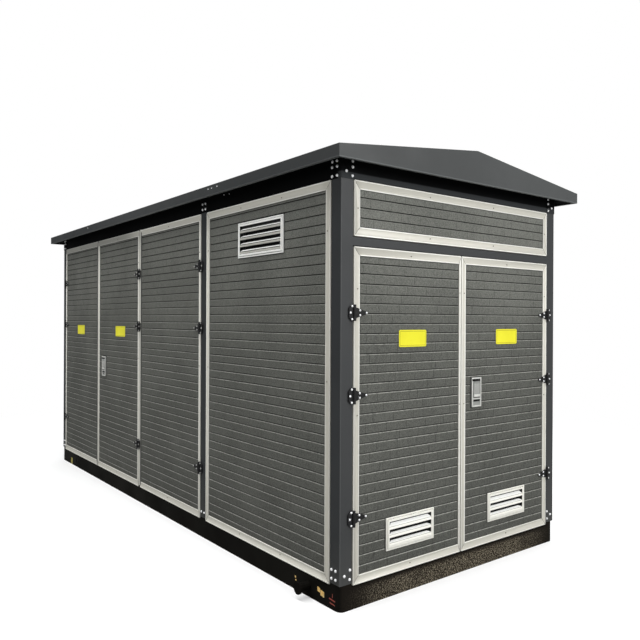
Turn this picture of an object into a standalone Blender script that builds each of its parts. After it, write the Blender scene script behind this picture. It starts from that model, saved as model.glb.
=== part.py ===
# Compact substation: a folded-steel skeleton on a channel base, clad with
# aluminium-framed boards, with five hinged doors, louvres and a low gable roof.
# Metres, +Z up, +X along the length, origin under the middle of the base.
import math

import bmesh
import bpy
from mathutils import Matrix, Vector

# Overall body
LENGTH = 4.95
WIDTH = 2.0
SEAT_GAP = 0.0003

# Channel base
BASE_HEIGHT = 0.126
BASE_WEB = 0.006
BASE_FLANGE = 0.053
BASE_FLANGE_THICK = 0.009
BASE_CORNER_RADIUS = 0.035
CORNER_STEPS = 4
PAD_HEIGHT = 0.019
CROSS_BEAM_WIDTH = 0.05
CROSS_BEAM_DROP = 0.02
LIFTING_X = 2.19
LIFTING_Z = 0.066
LIFTING_RADIUS = 0.026
LIFTING_LENGTH = 0.08
LIFTING_COLLAR_RADIUS = 0.036
LIFTING_COLLAR_THICK = 0.012
LIFTING_HOLE_X = -2.0
LIFTING_HOLE_RADIUS = 0.022
FLOOR_THICK = 0.006
FLOOR_INSET = 0.058

# Folded posts and rails
SHEET = 0.004
POST_FACE = 0.085
MID_POST_FACE = 0.0805
MULLION_FACE = 0.024
STOP_WIDTH = 0.02
STOP_DEPTH = 0.052
RING_HEIGHT = 0.11
RING_FLANGE = 0.075
RING_STOP_GAP = 0.0043
GUSSET_THICK = 0.003
GUSSET_DROP = 0.005

# Clearances round the doors
HINGE_GAP = 0.005
FREE_GAP = 0.007
SILL_GAP = 0.006
HEAD_GAP = 0.005

# Bays along the side and heights
SIDE_DOOR_WIDTH = 1.0385
THIRD_DOOR_WIDTH = 1.115
END_MEETING = -0.0155
SIDE_DOOR_HEIGHT = 2.24
TRANSOM_HEIGHT = 0.311
HEADER_FACE = 0.047

# Aluminium frames and the boards they hold
FRAME_PROUD = 0.004
FRAME_DEPTH = 0.05
STILE = 0.044
MEETING_STILE = 0.04
NARROW_STILE = 0.026
FREE_STILE = 0.018
RAIL = 0.052
FRAME_LIP = 0.006
FRAME_REBATE = 0.012
RIDGE_WIDTH = 0.0065
RIDGE_HEIGHT = 0.002
STILE_OVERRUN = 0.003

# Hinges
HINGE_HEIGHT = 0.09
KNUCKLE_RADIUS = 0.009
KNUCKLE_CLEARANCE = 0.0005
KNUCKLE_CUT = 0.0015
PIN_RADIUS = 0.004
PIN_CLEARANCE = 0.0004
FIXED_KNUCKLE = 0.0215
HINGE_PLATE = 0.034
NARROW_HINGE_PLATE = 0.023
PLATE_TAPER = 0.21
STRAP_THICK = 0.005
STRAP_LENGTH = 0.1
STRAP_START = 0.0135
STRAP_ROOT = 0.06
STRAP_WAIST = 0.03
STRAP_TIP = 0.013
STRAP_SHOULDER = 0.062
STRAP_BOSS_RADIUS = 0.0075
ROUND_STEPS = 12
HINGE_RISE = 0.371
HINGE_SPACING = 0.458
END_HINGE_DROP = 0.367
SIDE_HINGE_DROP = 0.382

# Louvres
LOUVRE_WIDTH = 0.396
LOUVRE_HEIGHT = 0.188
LOUVRE_RISE = 0.233
LOUVRE_BLADES = 3
HIGH_LOUVRE_WIDTH = 0.534
HIGH_LOUVRE_HEIGHT = 0.234
HIGH_LOUVRE_DROP = 0.249
HIGH_LOUVRE_BLADES = 4
LOUVRE_BORDER = 0.024
LOUVRE_PROUD = 0.014
BLADE_THICK = 0.003
LOUVRE_CUT_MARGIN = 0.012

# Locks
LOCK_WIDTH = 0.092
LOCK_HEIGHT = 0.19
LOCK_DEPTH = 0.014
LOCK_Z = 1.135
END_LOCK_INSET = 0.093
SIDE_LOCK_INSET = 0.1425
LOCK_FLOOR = 0.005
LOCK_EDGE = 0.002
LOCK_RIM = 0.01
RECESS_TOP = 0.012
LEVER_DROP = 0.026
LEVER_HEIGHT = 0.106
LEVER_THICK = 0.006
LEVER_LIP = 0.022
LEVER_LIP_RISE = 0.011
LEVER_CLEARANCE = 0.006
LEVER_PIN_RADIUS = 0.003
LEVER_TUBE_RADIUS = 0.006
LEVER_TUBE_CLEARANCE = 0.0004
KEY_SLOT_WIDTH = 0.064
KEY_SLOT_HEIGHT = 0.008
KEY_SLOT_DROP = 0.147
KEY_SLOT_DEPTH = 0.006

# Roof
OVERHANG_SIDE = 0.113
OVERHANG_END = 0.118
EAVE_DROP = 0.04
FASCIA_HEIGHT = 0.07
ROOF_RISE = 0.133
ROOF_SHEET = 0.004
ROOF_LIP = 0.018
DECK_THICK = 0.012
RIB_WIDTH = 0.04
RIB_COUNT = 5

# Heights worked out from the sizes above
LEAF_BOTTOM = BASE_HEIGHT + SILL_GAP
POST_BOTTOM = BASE_HEIGHT + PAD_HEIGHT
SIDE_TOP = LEAF_BOTTOM + SIDE_DOOR_HEIGHT
RING_BOTTOM = SIDE_TOP + HEAD_GAP
RING_TOP = RING_BOTTOM + RING_HEIGHT
TRANSOM_BOTTOM = SIDE_TOP - TRANSOM_HEIGHT
HEADER_TOP = TRANSOM_BOTTOM - HEAD_GAP
HEADER_BOTTOM = HEADER_TOP - HEADER_FACE
END_DOOR_TOP = HEADER_BOTTOM - HEAD_GAP
DECK_BOTTOM = RING_TOP + SEAT_GAP
EAVE_BOTTOM = RING_TOP - EAVE_DROP
EAVE_TOP = EAVE_BOTTOM + FASCIA_HEIGHT
END_HINGE_TOP = END_DOOR_TOP - END_HINGE_DROP
SIDE_HINGE_TOP = SIDE_TOP - SIDE_HINGE_DROP
END_HINGES = (LEAF_BOTTOM + HINGE_RISE, END_HINGE_TOP - HINGE_SPACING, END_HINGE_TOP)
SIDE_HINGES = (LEAF_BOTTOM + HINGE_RISE, SIDE_HINGE_TOP - HINGE_SPACING, SIDE_HINGE_TOP)
FIXED_DEPTH = STOP_DEPTH + FRAME_PROUD - SEAT_GAP
KNUCKLE_PROUD = FRAME_PROUD + KNUCKLE_CLEARANCE + KNUCKLE_RADIUS
HALF_L = LENGTH / 2
HALF_W = WIDTH / 2
ROOF_HALF_L = HALF_L + OVERHANG_END
ROOF_HALF_W = HALF_W + OVERHANG_SIDE

# Bay edges along the front, from left to right as seen from outside
BAY_LEFT = -HALF_L + POST_FACE + HINGE_GAP
DOOR_1 = (BAY_LEFT, BAY_LEFT + SIDE_DOOR_WIDTH)
DOOR_2 = (DOOR_1[1] + FREE_GAP, DOOR_1[1] + FREE_GAP + SIDE_DOOR_WIDTH)
MULLION = (DOOR_2[1] + HINGE_GAP, DOOR_2[1] + HINGE_GAP + MULLION_FACE)
DOOR_3 = (MULLION[1] + FREE_GAP, MULLION[1] + FREE_GAP + THIRD_DOOR_WIDTH)
MID_POST = (DOOR_3[1] + HINGE_GAP, DOOR_3[1] + HINGE_GAP + MID_POST_FACE)
SIDE_PANEL = (MID_POST[1] + HINGE_GAP, HALF_L - POST_FACE - HINGE_GAP)
END_EDGE = HALF_W - POST_FACE - HINGE_GAP
END_LEFT = (-END_EDGE, END_MEETING - FREE_GAP / 2)
END_RIGHT = (END_MEETING + FREE_GAP / 2, END_EDGE)

# Each wall is drawn facing -Y and then turned to its own side
WALLS = {
    "front": (Vector((0, -HALF_W, 0)), 0.0),
    "right": (Vector((HALF_L, 0, 0)), math.pi / 2),
    "rear": (Vector((0, HALF_W, 0)), math.pi),
    "left": (Vector((-HALF_L, 0, 0)), -math.pi / 2),
}


def clear_scene():
    for obj in list(bpy.data.objects):
        bpy.data.objects.remove(obj)


def make_material(name, colour, metallic, roughness):
    mat = bpy.data.materials.new(name)
    mat.use_nodes = True
    shader = mat.node_tree.nodes["Principled BSDF"]
    shader.inputs["Base Color"].default_value = (*colour, 1.0)
    shader.inputs["Metallic"].default_value = metallic
    shader.inputs["Roughness"].default_value = roughness
    return mat


def new_object(name, bm, colour=(0.05, 0.05, 0.055), metallic=0.6, roughness=0.5):
    bmesh.ops.recalc_face_normals(bm, faces=bm.faces)
    mesh = bpy.data.meshes.new(name)
    bm.to_mesh(mesh)
    bm.free()
    obj = bpy.data.objects.new(name, mesh)
    bpy.context.collection.objects.link(obj)
    mesh.materials.append(make_material(name, colour, metallic, roughness))
    return obj


# Places an object of a wall, given its point in the wall's own axes
def place_on_wall(obj, wall, point):
    origin, angle = WALLS[wall]
    obj.rotation_euler = (0, 0, angle)
    obj.location = origin + Matrix.Rotation(angle, 3, "Z") @ Vector(point)


# Adds a box between two corners
def add_box(bm, low, high):
    size = [b - a for a, b in zip(low, high)]
    middle = [(a + b) / 2 for a, b in zip(low, high)]
    matrix = Matrix.Translation(middle) @ Matrix.Diagonal((*size, 1.0))
    bmesh.ops.create_cube(bm, size=1.0, matrix=matrix)


# Adds a flat outline, pushed along a vector into a solid
def add_prism(bm, outline, push):
    verts = [bm.verts.new(point) for point in outline]
    face = bm.faces.new(verts)
    grown = bmesh.ops.extrude_face_region(bm, geom=[face])
    moved = [item for item in grown["geom"] if isinstance(item, bmesh.types.BMVert)]
    bmesh.ops.translate(bm, verts=moved, vec=push)


# Turns a profile of (radius, height) round an axis
def add_turned(bm, profile, centre, axis="Z"):
    rings = []
    for radius, height in profile:
        ring = []
        for step in range(ROUND_STEPS):
            angle = math.tau * (step + 0.5) / ROUND_STEPS
            point = Vector((radius * math.cos(angle), radius * math.sin(angle), height))
            if axis == "X":
                point = Vector((point.z, point.x, point.y))
            elif axis == "Y":
                point = Vector((point.x, point.z, point.y))
            ring.append(bm.verts.new(Vector(centre) + point))
        rings.append(ring)
    return rings


def bridge_rings(bm, rings, closed):
    count = len(rings)
    for index in range(count if closed else count - 1):
        first = rings[index]
        second = rings[(index + 1) % count]
        for step in range(len(first)):
            following = (step + 1) % len(first)
            corners = [first[step], first[following], second[following], second[step]]
            corners = [v for i, v in enumerate(corners) if v not in corners[:i]]
            if len(corners) > 2:
                bm.faces.new(corners)
    if not closed:
        bm.faces.new(rings[0])
        bm.faces.new(rings[-1])


# A solid bar, or a tube when the profile is a closed loop of (radius, height)
def add_lathe(bm, profile, centre, axis="Z", closed=False):
    bridge_rings(bm, add_turned(bm, profile, centre, axis), closed)


# Points round a rectangle whose corners may be rounded
def rounded_rectangle(half_x, half_y, radius, steps):
    points = []
    for quarter, (sx, sy) in enumerate(((1, 1), (-1, 1), (-1, -1), (1, -1))):
        for step in range(steps + 1):
            angle = (quarter + step / steps) * math.pi / 2
            x = sx * (half_x - radius) + radius * math.cos(angle)
            y = sy * (half_y - radius) + radius * math.sin(angle)
            points.append((x, y))
    return points


# Sweeps a closed profile of (inset, height) round a rectangle in plan
def add_plan_ring(bm, half_x, half_y, profile, radius=0.0):
    rings = []
    for inset, height in profile:
        bend = max(radius - inset, 0.0)
        steps = CORNER_STEPS if radius else 1
        made = {}
        ring = []
        for x, y in rounded_rectangle(half_x - inset, half_y - inset, bend, steps):
            key = (round(x, 6), round(y, 6))
            if key not in made:
                made[key] = bm.verts.new((x, y, height))
            ring.append(made[key])
        rings.append(ring)
    bridge_rings(bm, rings, True)


# Runs Boolean operations on an object and deletes the tools they used;
# overlapping is for a tool whose own solids run into one another
def combine(obj, tools, operation="UNION", overlapping=False):
    for tool in tools:
        modifier = obj.modifiers.new("combine", "BOOLEAN")
        modifier.operation = operation
        modifier.solver = "EXACT"
        modifier.use_self = overlapping
        modifier.object = tool
        bpy.context.view_layer.objects.active = obj
        bpy.ops.object.modifier_apply(modifier=modifier.name)
        bpy.data.objects.remove(tool)


# Channel base with pads under the posts, cross beams and lifting fittings
def make_base():
    web = BASE_WEB
    thick = BASE_FLANGE_THICK
    flange = BASE_FLANGE
    top = BASE_HEIGHT
    channel = [(0, 0), (0, top), (flange, top), (flange, top - thick), (web, top - thick),
               (web, thick), (flange, thick), (flange, 0)]
    bm = bmesh.new()
    add_plan_ring(bm, HALF_L, HALF_W, channel, BASE_CORNER_RADIUS)
    base = new_object("base_frame", bm, (0.012, 0.011, 0.010), 0.3, 0.45)

    beams = bmesh.new()
    for x in cross_beam_places():
        reach = HALF_W - web / 2
        low = (x - CROSS_BEAM_WIDTH / 2, -reach, CROSS_BEAM_DROP)
        high = (x + CROSS_BEAM_WIDTH / 2, reach, top - CROSS_BEAM_DROP / 2)
        add_box(beams, low, high)
    pads = bmesh.new()
    for sx in (-1, 1):
        for sy in (-1, 1):
            add_pad(pads, sx, sy)
    for sy in (-1, 1):
        outer = sy * HALF_W
        inner = sy * (HALF_W - STOP_DEPTH)
        for left, right in (MID_POST, MULLION) if sy < 0 else (MID_POST,):
            low = (left, min(outer, inner), top - thick / 2)
            high = (right, max(outer, inner), POST_BOTTOM)
            add_box(pads, low, high)
    lifting = bmesh.new()
    holes = bmesh.new()
    for sy in (-1, 1):
        wall_y = sy * HALF_W
        tip = sy * LIFTING_LENGTH
        collar = sy * (LIFTING_LENGTH - LIFTING_COLLAR_THICK)
        inside = -sy * web / 2
        profile = [(LIFTING_RADIUS, inside), (LIFTING_RADIUS, collar),
                   (LIFTING_COLLAR_RADIUS, collar), (LIFTING_COLLAR_RADIUS, tip)]
        add_lathe(lifting, profile, (LIFTING_X, wall_y, LIFTING_Z), "Y")
        through = [(LIFTING_HOLE_RADIUS, -2 * web), (LIFTING_HOLE_RADIUS, 2 * web)]
        add_lathe(holes, through, (LIFTING_HOLE_X, wall_y, LIFTING_Z), "Y")
    tools = [new_object("base_tool", part) for part in (beams, pads, lifting)]
    combine(base, tools)
    combine(base, [new_object("hole_tool", holes)], "DIFFERENCE")
    return base


def cross_beam_places():
    return (MULLION[0] - SIDE_DOOR_WIDTH, (MULLION[0] + MULLION[1]) / 2,
            (MID_POST[0] + MID_POST[1]) / 2)


# A square foot that carries a corner post and keeps the base's rounded corner
def add_pad(bm, sx, sy):
    points = []
    for x, y in rounded_rectangle(HALF_L, HALF_W, BASE_CORNER_RADIUS, CORNER_STEPS):
        if x > 0 and y > 0:
            points.append((x, y))
    points += [(HALF_L - POST_FACE, HALF_W), (HALF_L - POST_FACE, HALF_W - POST_FACE),
               (HALF_L, HALF_W - POST_FACE)]
    low = BASE_HEIGHT - BASE_FLANGE_THICK / 2
    outline = [(sx * x, sy * y, low) for x, y in points]
    add_prism(bm, outline, (0, 0, POST_BOTTOM - low))


# Floor plate lying on the channels' top flanges, inside the posts
def make_floor():
    bm = bmesh.new()
    low_z = BASE_HEIGHT + SEAT_GAP
    half_x = HALF_L - POST_FACE - SEAT_GAP
    half_y = HALF_W - FLOOR_INSET
    tab_x = HALF_L - FLOOR_INSET
    tab_y = HALF_W - POST_FACE - SEAT_GAP
    outline = [(half_x, half_y), (-half_x, half_y), (-half_x, tab_y), (-tab_x, tab_y),
               (-tab_x, -tab_y), (-half_x, -tab_y), (-half_x, -half_y), (half_x, -half_y),
               (half_x, -tab_y), (tab_x, -tab_y), (tab_x, tab_y), (half_x, tab_y)]
    add_prism(bm, [(x, y, low_z) for x, y in outline], (0, 0, FLOOR_THICK))
    return new_object("floor_plate", bm, (0.10, 0.10, 0.10), 0.8, 0.5)


# Plan of a corner post, from its outer corner inwards along both walls
def corner_section():
    face, depth, thin, stop = POST_FACE, STOP_DEPTH, SHEET, POST_FACE + STOP_WIDTH
    half = [(stop, depth), (face, depth), (face, 0)]
    back = [(thin, face - thin), (depth + thin, face - thin), (depth + thin, stop)]
    outer = half + [(0, 0)] + [(b, a) for a, b in reversed(half)]
    inner = list(reversed(back)) + [(thin, thin)] + [(b, a) for a, b in back]
    return outer + inner


# Plan of a hat-shaped post, centred on its face
def hat_section(face):
    depth, thin = STOP_DEPTH, SHEET
    half, stop = face / 2, face / 2 + STOP_WIDTH
    outer = [(-stop, depth), (-half, depth), (-half, 0), (half, 0), (half, depth), (stop, depth)]
    inner = [(stop, depth + thin), (half - thin, depth + thin), (half - thin, thin),
             (thin - half, thin), (thin - half, depth + thin), (-stop, depth + thin)]
    return outer + inner


def post_top():
    return RING_BOTTOM - SEAT_GAP


# Corner post; knuckles lists (wall, side of the opening, heights) for its hinges
def make_corner_post(name, sx, sy, knuckles):
    bm = bmesh.new()
    low = POST_BOTTOM + SEAT_GAP
    points = [(sx * (HALF_L - a), sy * (HALF_W - b), low) for a, b in corner_section()]
    add_prism(bm, points, (0, 0, post_top() - low))
    post = new_object(name, bm, (0.040, 0.043, 0.048), 0.5, 0.5)
    for wall, edge, side, heights in knuckles:
        combine(post, fixed_hinges(wall, edge, side, heights, HINGE_PLATE))
    return post


def make_hat_post(name, wall, edges, colour, plate, knuckles):
    bm = bmesh.new()
    low = POST_BOTTOM + SEAT_GAP
    middle = (edges[0] + edges[1]) / 2
    outline = [(a, b, low) for a, b in hat_section(edges[1] - edges[0])]
    add_prism(bm, outline, (0, 0, post_top() - low))
    post = new_object(name, bm, *colour)
    place_on_wall(post, wall, (middle, 0, 0))
    for edge, side, heights in knuckles:
        combine(post, fixed_hinges(wall, edge, side, heights, plate))
    return post


# Post halves of the hinges: a shaped plate with two knuckles and the pin.
# side is +1 when the door lies to the right of the hinge, -1 to the left.
def fixed_hinges(wall, edge, side, heights, plate):
    plates = bmesh.new()
    pins = bmesh.new()
    root = HINGE_GAP / 2
    cut = KNUCKLE_RADIUS + KNUCKLE_CUT
    tall = HINGE_HEIGHT
    shoulder = plate / 2
    top = tall - FIXED_KNUCKLE
    front = KNUCKLE_PROUD - KNUCKLE_CLEARANCE
    for height in heights:
        base = height - tall / 2
        slant = tall * PLATE_TAPER
        outline = [(root, 0), (shoulder, 0), (plate + root, slant),
                   (plate + root, tall - slant), (shoulder, tall), (root, tall), (root, top),
                   (cut, top), (cut, FIXED_KNUCKLE), (root, FIXED_KNUCKLE)]
        points = [(-side * x, SHEET / 2, base + z) for x, z in outline]
        add_prism(plates, points, (0, -SHEET / 2 - front + STRAP_THICK / 2, 0))
        profile = [(KNUCKLE_RADIUS, 0), (KNUCKLE_RADIUS, FIXED_KNUCKLE),
                   (PIN_RADIUS, FIXED_KNUCKLE), (PIN_RADIUS, top), (KNUCKLE_RADIUS, top),
                   (KNUCKLE_RADIUS, tall)]
        add_lathe(pins, profile, (0, -KNUCKLE_PROUD, base))
    tools = [new_object("plate_tool", plates), new_object("pin_tool", pins)]
    for tool in tools:
        place_on_wall(tool, wall, (edge - side * HINGE_GAP / 2, 0, 0))
    return tools


# Ring beam on top of the posts, with a door stop hanging behind it and
# a gusset plate folded round each corner
def make_top_ring():
    stop = STOP_DEPTH + SHEET + RING_STOP_GAP
    profile = [(0, RING_BOTTOM), (0, RING_TOP), (RING_FLANGE, RING_TOP),
               (RING_FLANGE, RING_TOP - SHEET), (SHEET, RING_TOP - SHEET),
               (SHEET, RING_BOTTOM + SHEET), (stop + SHEET, RING_BOTTOM + SHEET),
               (stop + SHEET, RING_BOTTOM - STOP_WIDTH), (stop, RING_BOTTOM - STOP_WIDTH),
               (stop, RING_BOTTOM)]
    bm = bmesh.new()
    add_plan_ring(bm, HALF_L, HALF_W, profile)
    ring = new_object("top_ring", bm, (0.012, 0.013, 0.016), 0.5, 0.5)
    gussets = bmesh.new()
    low = RING_BOTTOM - GUSSET_DROP
    out = GUSSET_THICK
    sunk = SHEET / 2
    for sx in (-1, 1):
        for sy in (-1, 1):
            outline = [(-out, -out), (POST_FACE, -out), (POST_FACE, sunk), (sunk, sunk),
                       (sunk, POST_FACE), (-out, POST_FACE)]
            points = [(sx * (HALF_L - a), sy * (HALF_W - b), RING_BOTTOM) for a, b in outline]
            add_prism(gussets, points, (0, 0, RING_TOP - SEAT_GAP - RING_BOTTOM))
            skirt = [(-out, -out), (POST_FACE, -out), (POST_FACE, -SEAT_GAP),
                     (-SEAT_GAP, -SEAT_GAP), (-SEAT_GAP, POST_FACE), (-out, POST_FACE)]
            points = [(sx * (HALF_L - a), sy * (HALF_W - b), low) for a, b in skirt]
            add_prism(gussets, points, (0, 0, RING_BOTTOM + GUSSET_DROP - low))
    combine(ring, [new_object("gusset_tool", gussets)], overlapping=True)
    return ring


# Rail over the end doors: a folded channel between the posts with a stop plate behind
def make_header(wall):
    half = HALF_W - POST_FACE - SEAT_GAP
    short = half - STOP_WIDTH
    depth = STOP_DEPTH - SEAT_GAP
    low, high = HEADER_BOTTOM, HEADER_TOP
    channel = [(depth, low), (0, low), (0, high), (depth, high), (depth, high - SHEET),
               (SHEET, high - SHEET), (SHEET, low + SHEET), (depth, low + SHEET)]
    bm = bmesh.new()
    add_prism(bm, [(-half, y, z) for y, z in channel], (2 * half, 0, 0))
    rail = new_object(f"header_rail_{wall}", bm, (0.030, 0.032, 0.036), 0.5, 0.5)
    place_on_wall(rail, wall, (0, 0, 0))
    plate = bmesh.new()
    seat, back = depth - SHEET / 2, STOP_DEPTH + SHEET
    outline = [(STOP_DEPTH, low - STOP_WIDTH), (back, low - STOP_WIDTH),
               (back, high + STOP_WIDTH), (STOP_DEPTH, high + STOP_WIDTH),
               (STOP_DEPTH, high), (seat, high), (seat, low), (STOP_DEPTH, low)]
    add_prism(plate, [(-short, y, z) for y, z in outline], (2 * short, 0, 0))
    tool = new_object("stop_tool", plate)
    place_on_wall(tool, wall, (0, 0, 0))
    combine(rail, [tool])
    return rail


# Profile of an aluminium frame bar, as (from inner edge, offset, depth)
def frame_profile(depth):
    deep = RIDGE_HEIGHT
    ridge = RIDGE_WIDTH
    return [(False, 0, deep), (False, deep, 0), (False, ridge, 0), (False, ridge + deep, deep),
            (True, ridge + deep, deep), (True, ridge, 0), (True, deep, 0), (True, 0, deep),
            (True, 0, FRAME_LIP), (True, -FRAME_REBATE, FRAME_LIP),
            (True, -FRAME_REBATE, depth), (False, 0, depth)]


# Mitred frame round an opening; bars are its widths left, right, bottom and top.
# x and z ranges are the frame's outside, y is its outer face.
def add_frame(bm, x_range, z_range, y, bars, profile):
    left, right, bottom, top = bars
    rings = []
    for inner, offset, depth in profile:
        widths = []
        for bar in (left, right, bottom, top):
            if inner and offset < 0:
                widths.append(bar + offset)
            elif inner:
                widths.append(bar - offset)
            else:
                widths.append(offset)
        x0, x1 = x_range[0] + widths[0], x_range[1] - widths[1]
        z0, z1 = z_range[0] + widths[2], z_range[1] - widths[3]
        corners = ((x0, z0), (x1, z0), (x1, z1), (x0, z1))
        rings.append([bm.verts.new((x, y + depth, z)) for x, z in corners])
    bridge_rings(bm, rings, True)


def board_range(edges, first_bar, last_bar):
    inset = FRAME_REBATE - SEAT_GAP
    return (edges[0] + first_bar - inset, edges[1] - last_bar + inset)


# The aluminium frame of a leaf or panel
def make_frame(name, x_range, z_range, y, bars, depth):
    bm = bmesh.new()
    add_frame(bm, x_range, z_range, y, bars, frame_profile(depth))
    return new_object(name, bm, (0.62, 0.61, 0.57), 0.7, 0.35)


# The board behind the frame's lip, cut through behind a louvre
def make_board(name, x_range, z_range, y, bars, depth, louvre=None):
    left, right, bottom, top = bars
    bx = board_range(x_range, left, right)
    bz = board_range(z_range, bottom, top)
    bm = bmesh.new()
    face = y + FRAME_LIP + SEAT_GAP
    add_box(bm, (bx[0], face, bz[0]), (bx[1], y + depth, bz[1]))
    board = new_object(name, bm, (0.075, 0.075, 0.072), 0.4, 0.6)
    if louvre:
        x, z, width, height = louvre[:4]
        margin = LOUVRE_BORDER + LOUVRE_CUT_MARGIN
        cut = bmesh.new()
        add_box(cut, (x - width / 2 + margin, face - FRAME_LIP, z - height / 2 + margin),
                (x + width / 2 - margin, y + depth + FRAME_LIP, z + height / 2 - margin))
        combine(board, [new_object("louvre_cut", cut)], "DIFFERENCE")
    return board


# A mitred louvre frame with sloping blades, lying on the board
def make_louvre(name, louvre, y):
    x, z, width, height, blades = louvre
    face = y + FRAME_LIP - LOUVRE_PROUD
    x_range = (x - width / 2, x + width / 2)
    z_range = (z - height / 2, z + height / 2)
    border = LOUVRE_BORDER
    profile = [(False, 0, LOUVRE_PROUD / 2), (False, LOUVRE_PROUD / 4, 0), (True, 0, 0),
               (True, 0, LOUVRE_PROUD), (False, 0, LOUVRE_PROUD)]
    bm = bmesh.new()
    add_frame(bm, x_range, z_range, face, (border,) * 4, profile)
    vent = new_object(name, bm, (0.78, 0.79, 0.76), 0.5, 0.35)
    tool = bmesh.new()
    low = z_range[0] + border
    pitch = (height - 2 * border) / blades
    reach = width / 2 - border / 2
    lip = SHEET / 2
    for blade in range(blades):
        foot = low + blade * pitch - lip
        head = foot + pitch - lip
        drop = BLADE_THICK
        outline = [(face + lip, foot), (face + lip, foot + drop * 2),
                   (face + LOUVRE_PROUD - lip, head), (face + LOUVRE_PROUD, head),
                   (face + LOUVRE_PROUD, head - drop * 2), (face + 2 * lip + drop, foot)]
        add_prism(tool, [(x - reach, a, b) for a, b in outline], (2 * reach, 0, 0))
    combine(vent, [new_object("blade_tool", tool)])
    return vent


# Fixed panel: frame, board and sometimes a louvre, seated on the posts' stops
def make_fixed_panel(label, wall, x_range, z_range, louvre=None):
    bars = (STILE, STILE, RAIL, RAIL)
    y = -FRAME_PROUD
    made = [make_frame(f"{label}_frame", x_range, z_range, y, bars, FIXED_DEPTH),
            make_board(f"{label}_board", x_range, z_range, y, bars, FIXED_DEPTH, louvre)]
    if louvre:
        made.append(make_louvre(f"{label}_louvre", louvre, y))
    for obj in made:
        place_on_wall(obj, wall, (0, 0, 0))
    return made


# Ladder frame that holds several boards side by side on an unseen wall
def make_ladder_panel(label, wall, bays, z_range, louvres):
    y = -FRAME_PROUD
    outer = (bays[0][0], bays[-1][1])
    bars = (STILE, STILE, RAIL, RAIL)
    frame = make_frame(f"{label}_frame", outer, z_range, y, bars, FIXED_DEPTH)
    made = [frame]
    middles = [(bay[1] + after[0]) / 2 for bay, after in zip(bays, bays[1:])]
    stiles = bmesh.new()
    for middle in middles:
        add_middle_stile(stiles, middle, z_range, y)
    combine(frame, [new_object("stile_tool", stiles)])
    ends = [outer[0], *middles, outer[1]]
    for index, louvre in enumerate(louvres):
        cell = (ends[index], ends[index + 1])
        name = f"{label}_board_{index + 1}"
        made.append(make_board(name, cell, z_range, y, bars, FIXED_DEPTH, louvre))
        if louvre:
            made.append(make_louvre(f"{label}_louvre_{index + 1}", louvre, y))
    for obj in made:
        place_on_wall(obj, wall, (0, 0, 0))
    return made


# A T-shaped stile between two boards of a ladder frame
def add_middle_stile(bm, x, z_range, y):
    web = STILE - FRAME_REBATE
    lip = FRAME_LIP
    deep = RIDGE_HEIGHT
    inner, outer = STILE - RIDGE_WIDTH, STILE - deep
    outline = [(-STILE, deep), (-outer, 0), (-inner, 0), (deep - inner, deep),
               (inner - deep, deep), (inner, 0), (outer, 0), (STILE, deep), (STILE, lip),
               (web, lip), (web, FIXED_DEPTH), (-web, FIXED_DEPTH), (-web, lip), (-STILE, lip)]
    low = z_range[0] + RAIL - STILE_OVERRUN
    high = z_range[1] - RAIL + STILE_OVERRUN
    add_prism(bm, [(x + a, y + b, low) for a, b in outline], (0, 0, high - low))


# Door halves of the hinges: a strap that runs from a wide root beside the
# knuckles to a rounded tip, a boss to the board and the bored knuckle
def moving_hinges(side, heights, board_y):
    straps = bmesh.new()
    knuckles = bmesh.new()
    back = KNUCKLE_RADIUS
    front = back - STRAP_THICK
    start = PIN_RADIUS + PIN_CLEARANCE + SEAT_GAP
    half = moving_half()
    round_start = STRAP_LENGTH - STRAP_TIP / 2
    upper = [(start, half), (STRAP_START, half), (STRAP_START, STRAP_ROOT / 2),
             (STRAP_SHOULDER, STRAP_WAIST / 2), (round_start, STRAP_TIP / 2),
             (STRAP_LENGTH, STRAP_TIP / 4)]
    outline = upper + [(x, -z) for x, z in reversed(upper)]
    for height in heights:
        points = [(side * x, back, height + z) for x, z in outline]
        add_prism(straps, points, (0, front - back, 0))
        bore = PIN_RADIUS + PIN_CLEARANCE
        profile = [(KNUCKLE_RADIUS, -half), (KNUCKLE_RADIUS, half), (bore, half), (bore, -half)]
        add_lathe(knuckles, profile, (0, 0, height), closed=True)
        boss_x = (STILE + STRAP_LENGTH) / 2 + STRAP_BOSS_RADIUS
        boss = [(STRAP_BOSS_RADIUS, (front + back) / 2), (STRAP_BOSS_RADIUS, board_y + SHEET)]
        add_lathe(knuckles, boss, (side * boss_x, 0, height), "Y")
    return [new_object("strap_tool", straps), new_object("knuckle_tool", knuckles)]


def moving_half():
    return HINGE_HEIGHT / 2 - FIXED_KNUCKLE - KNUCKLE_CLEARANCE


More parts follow.
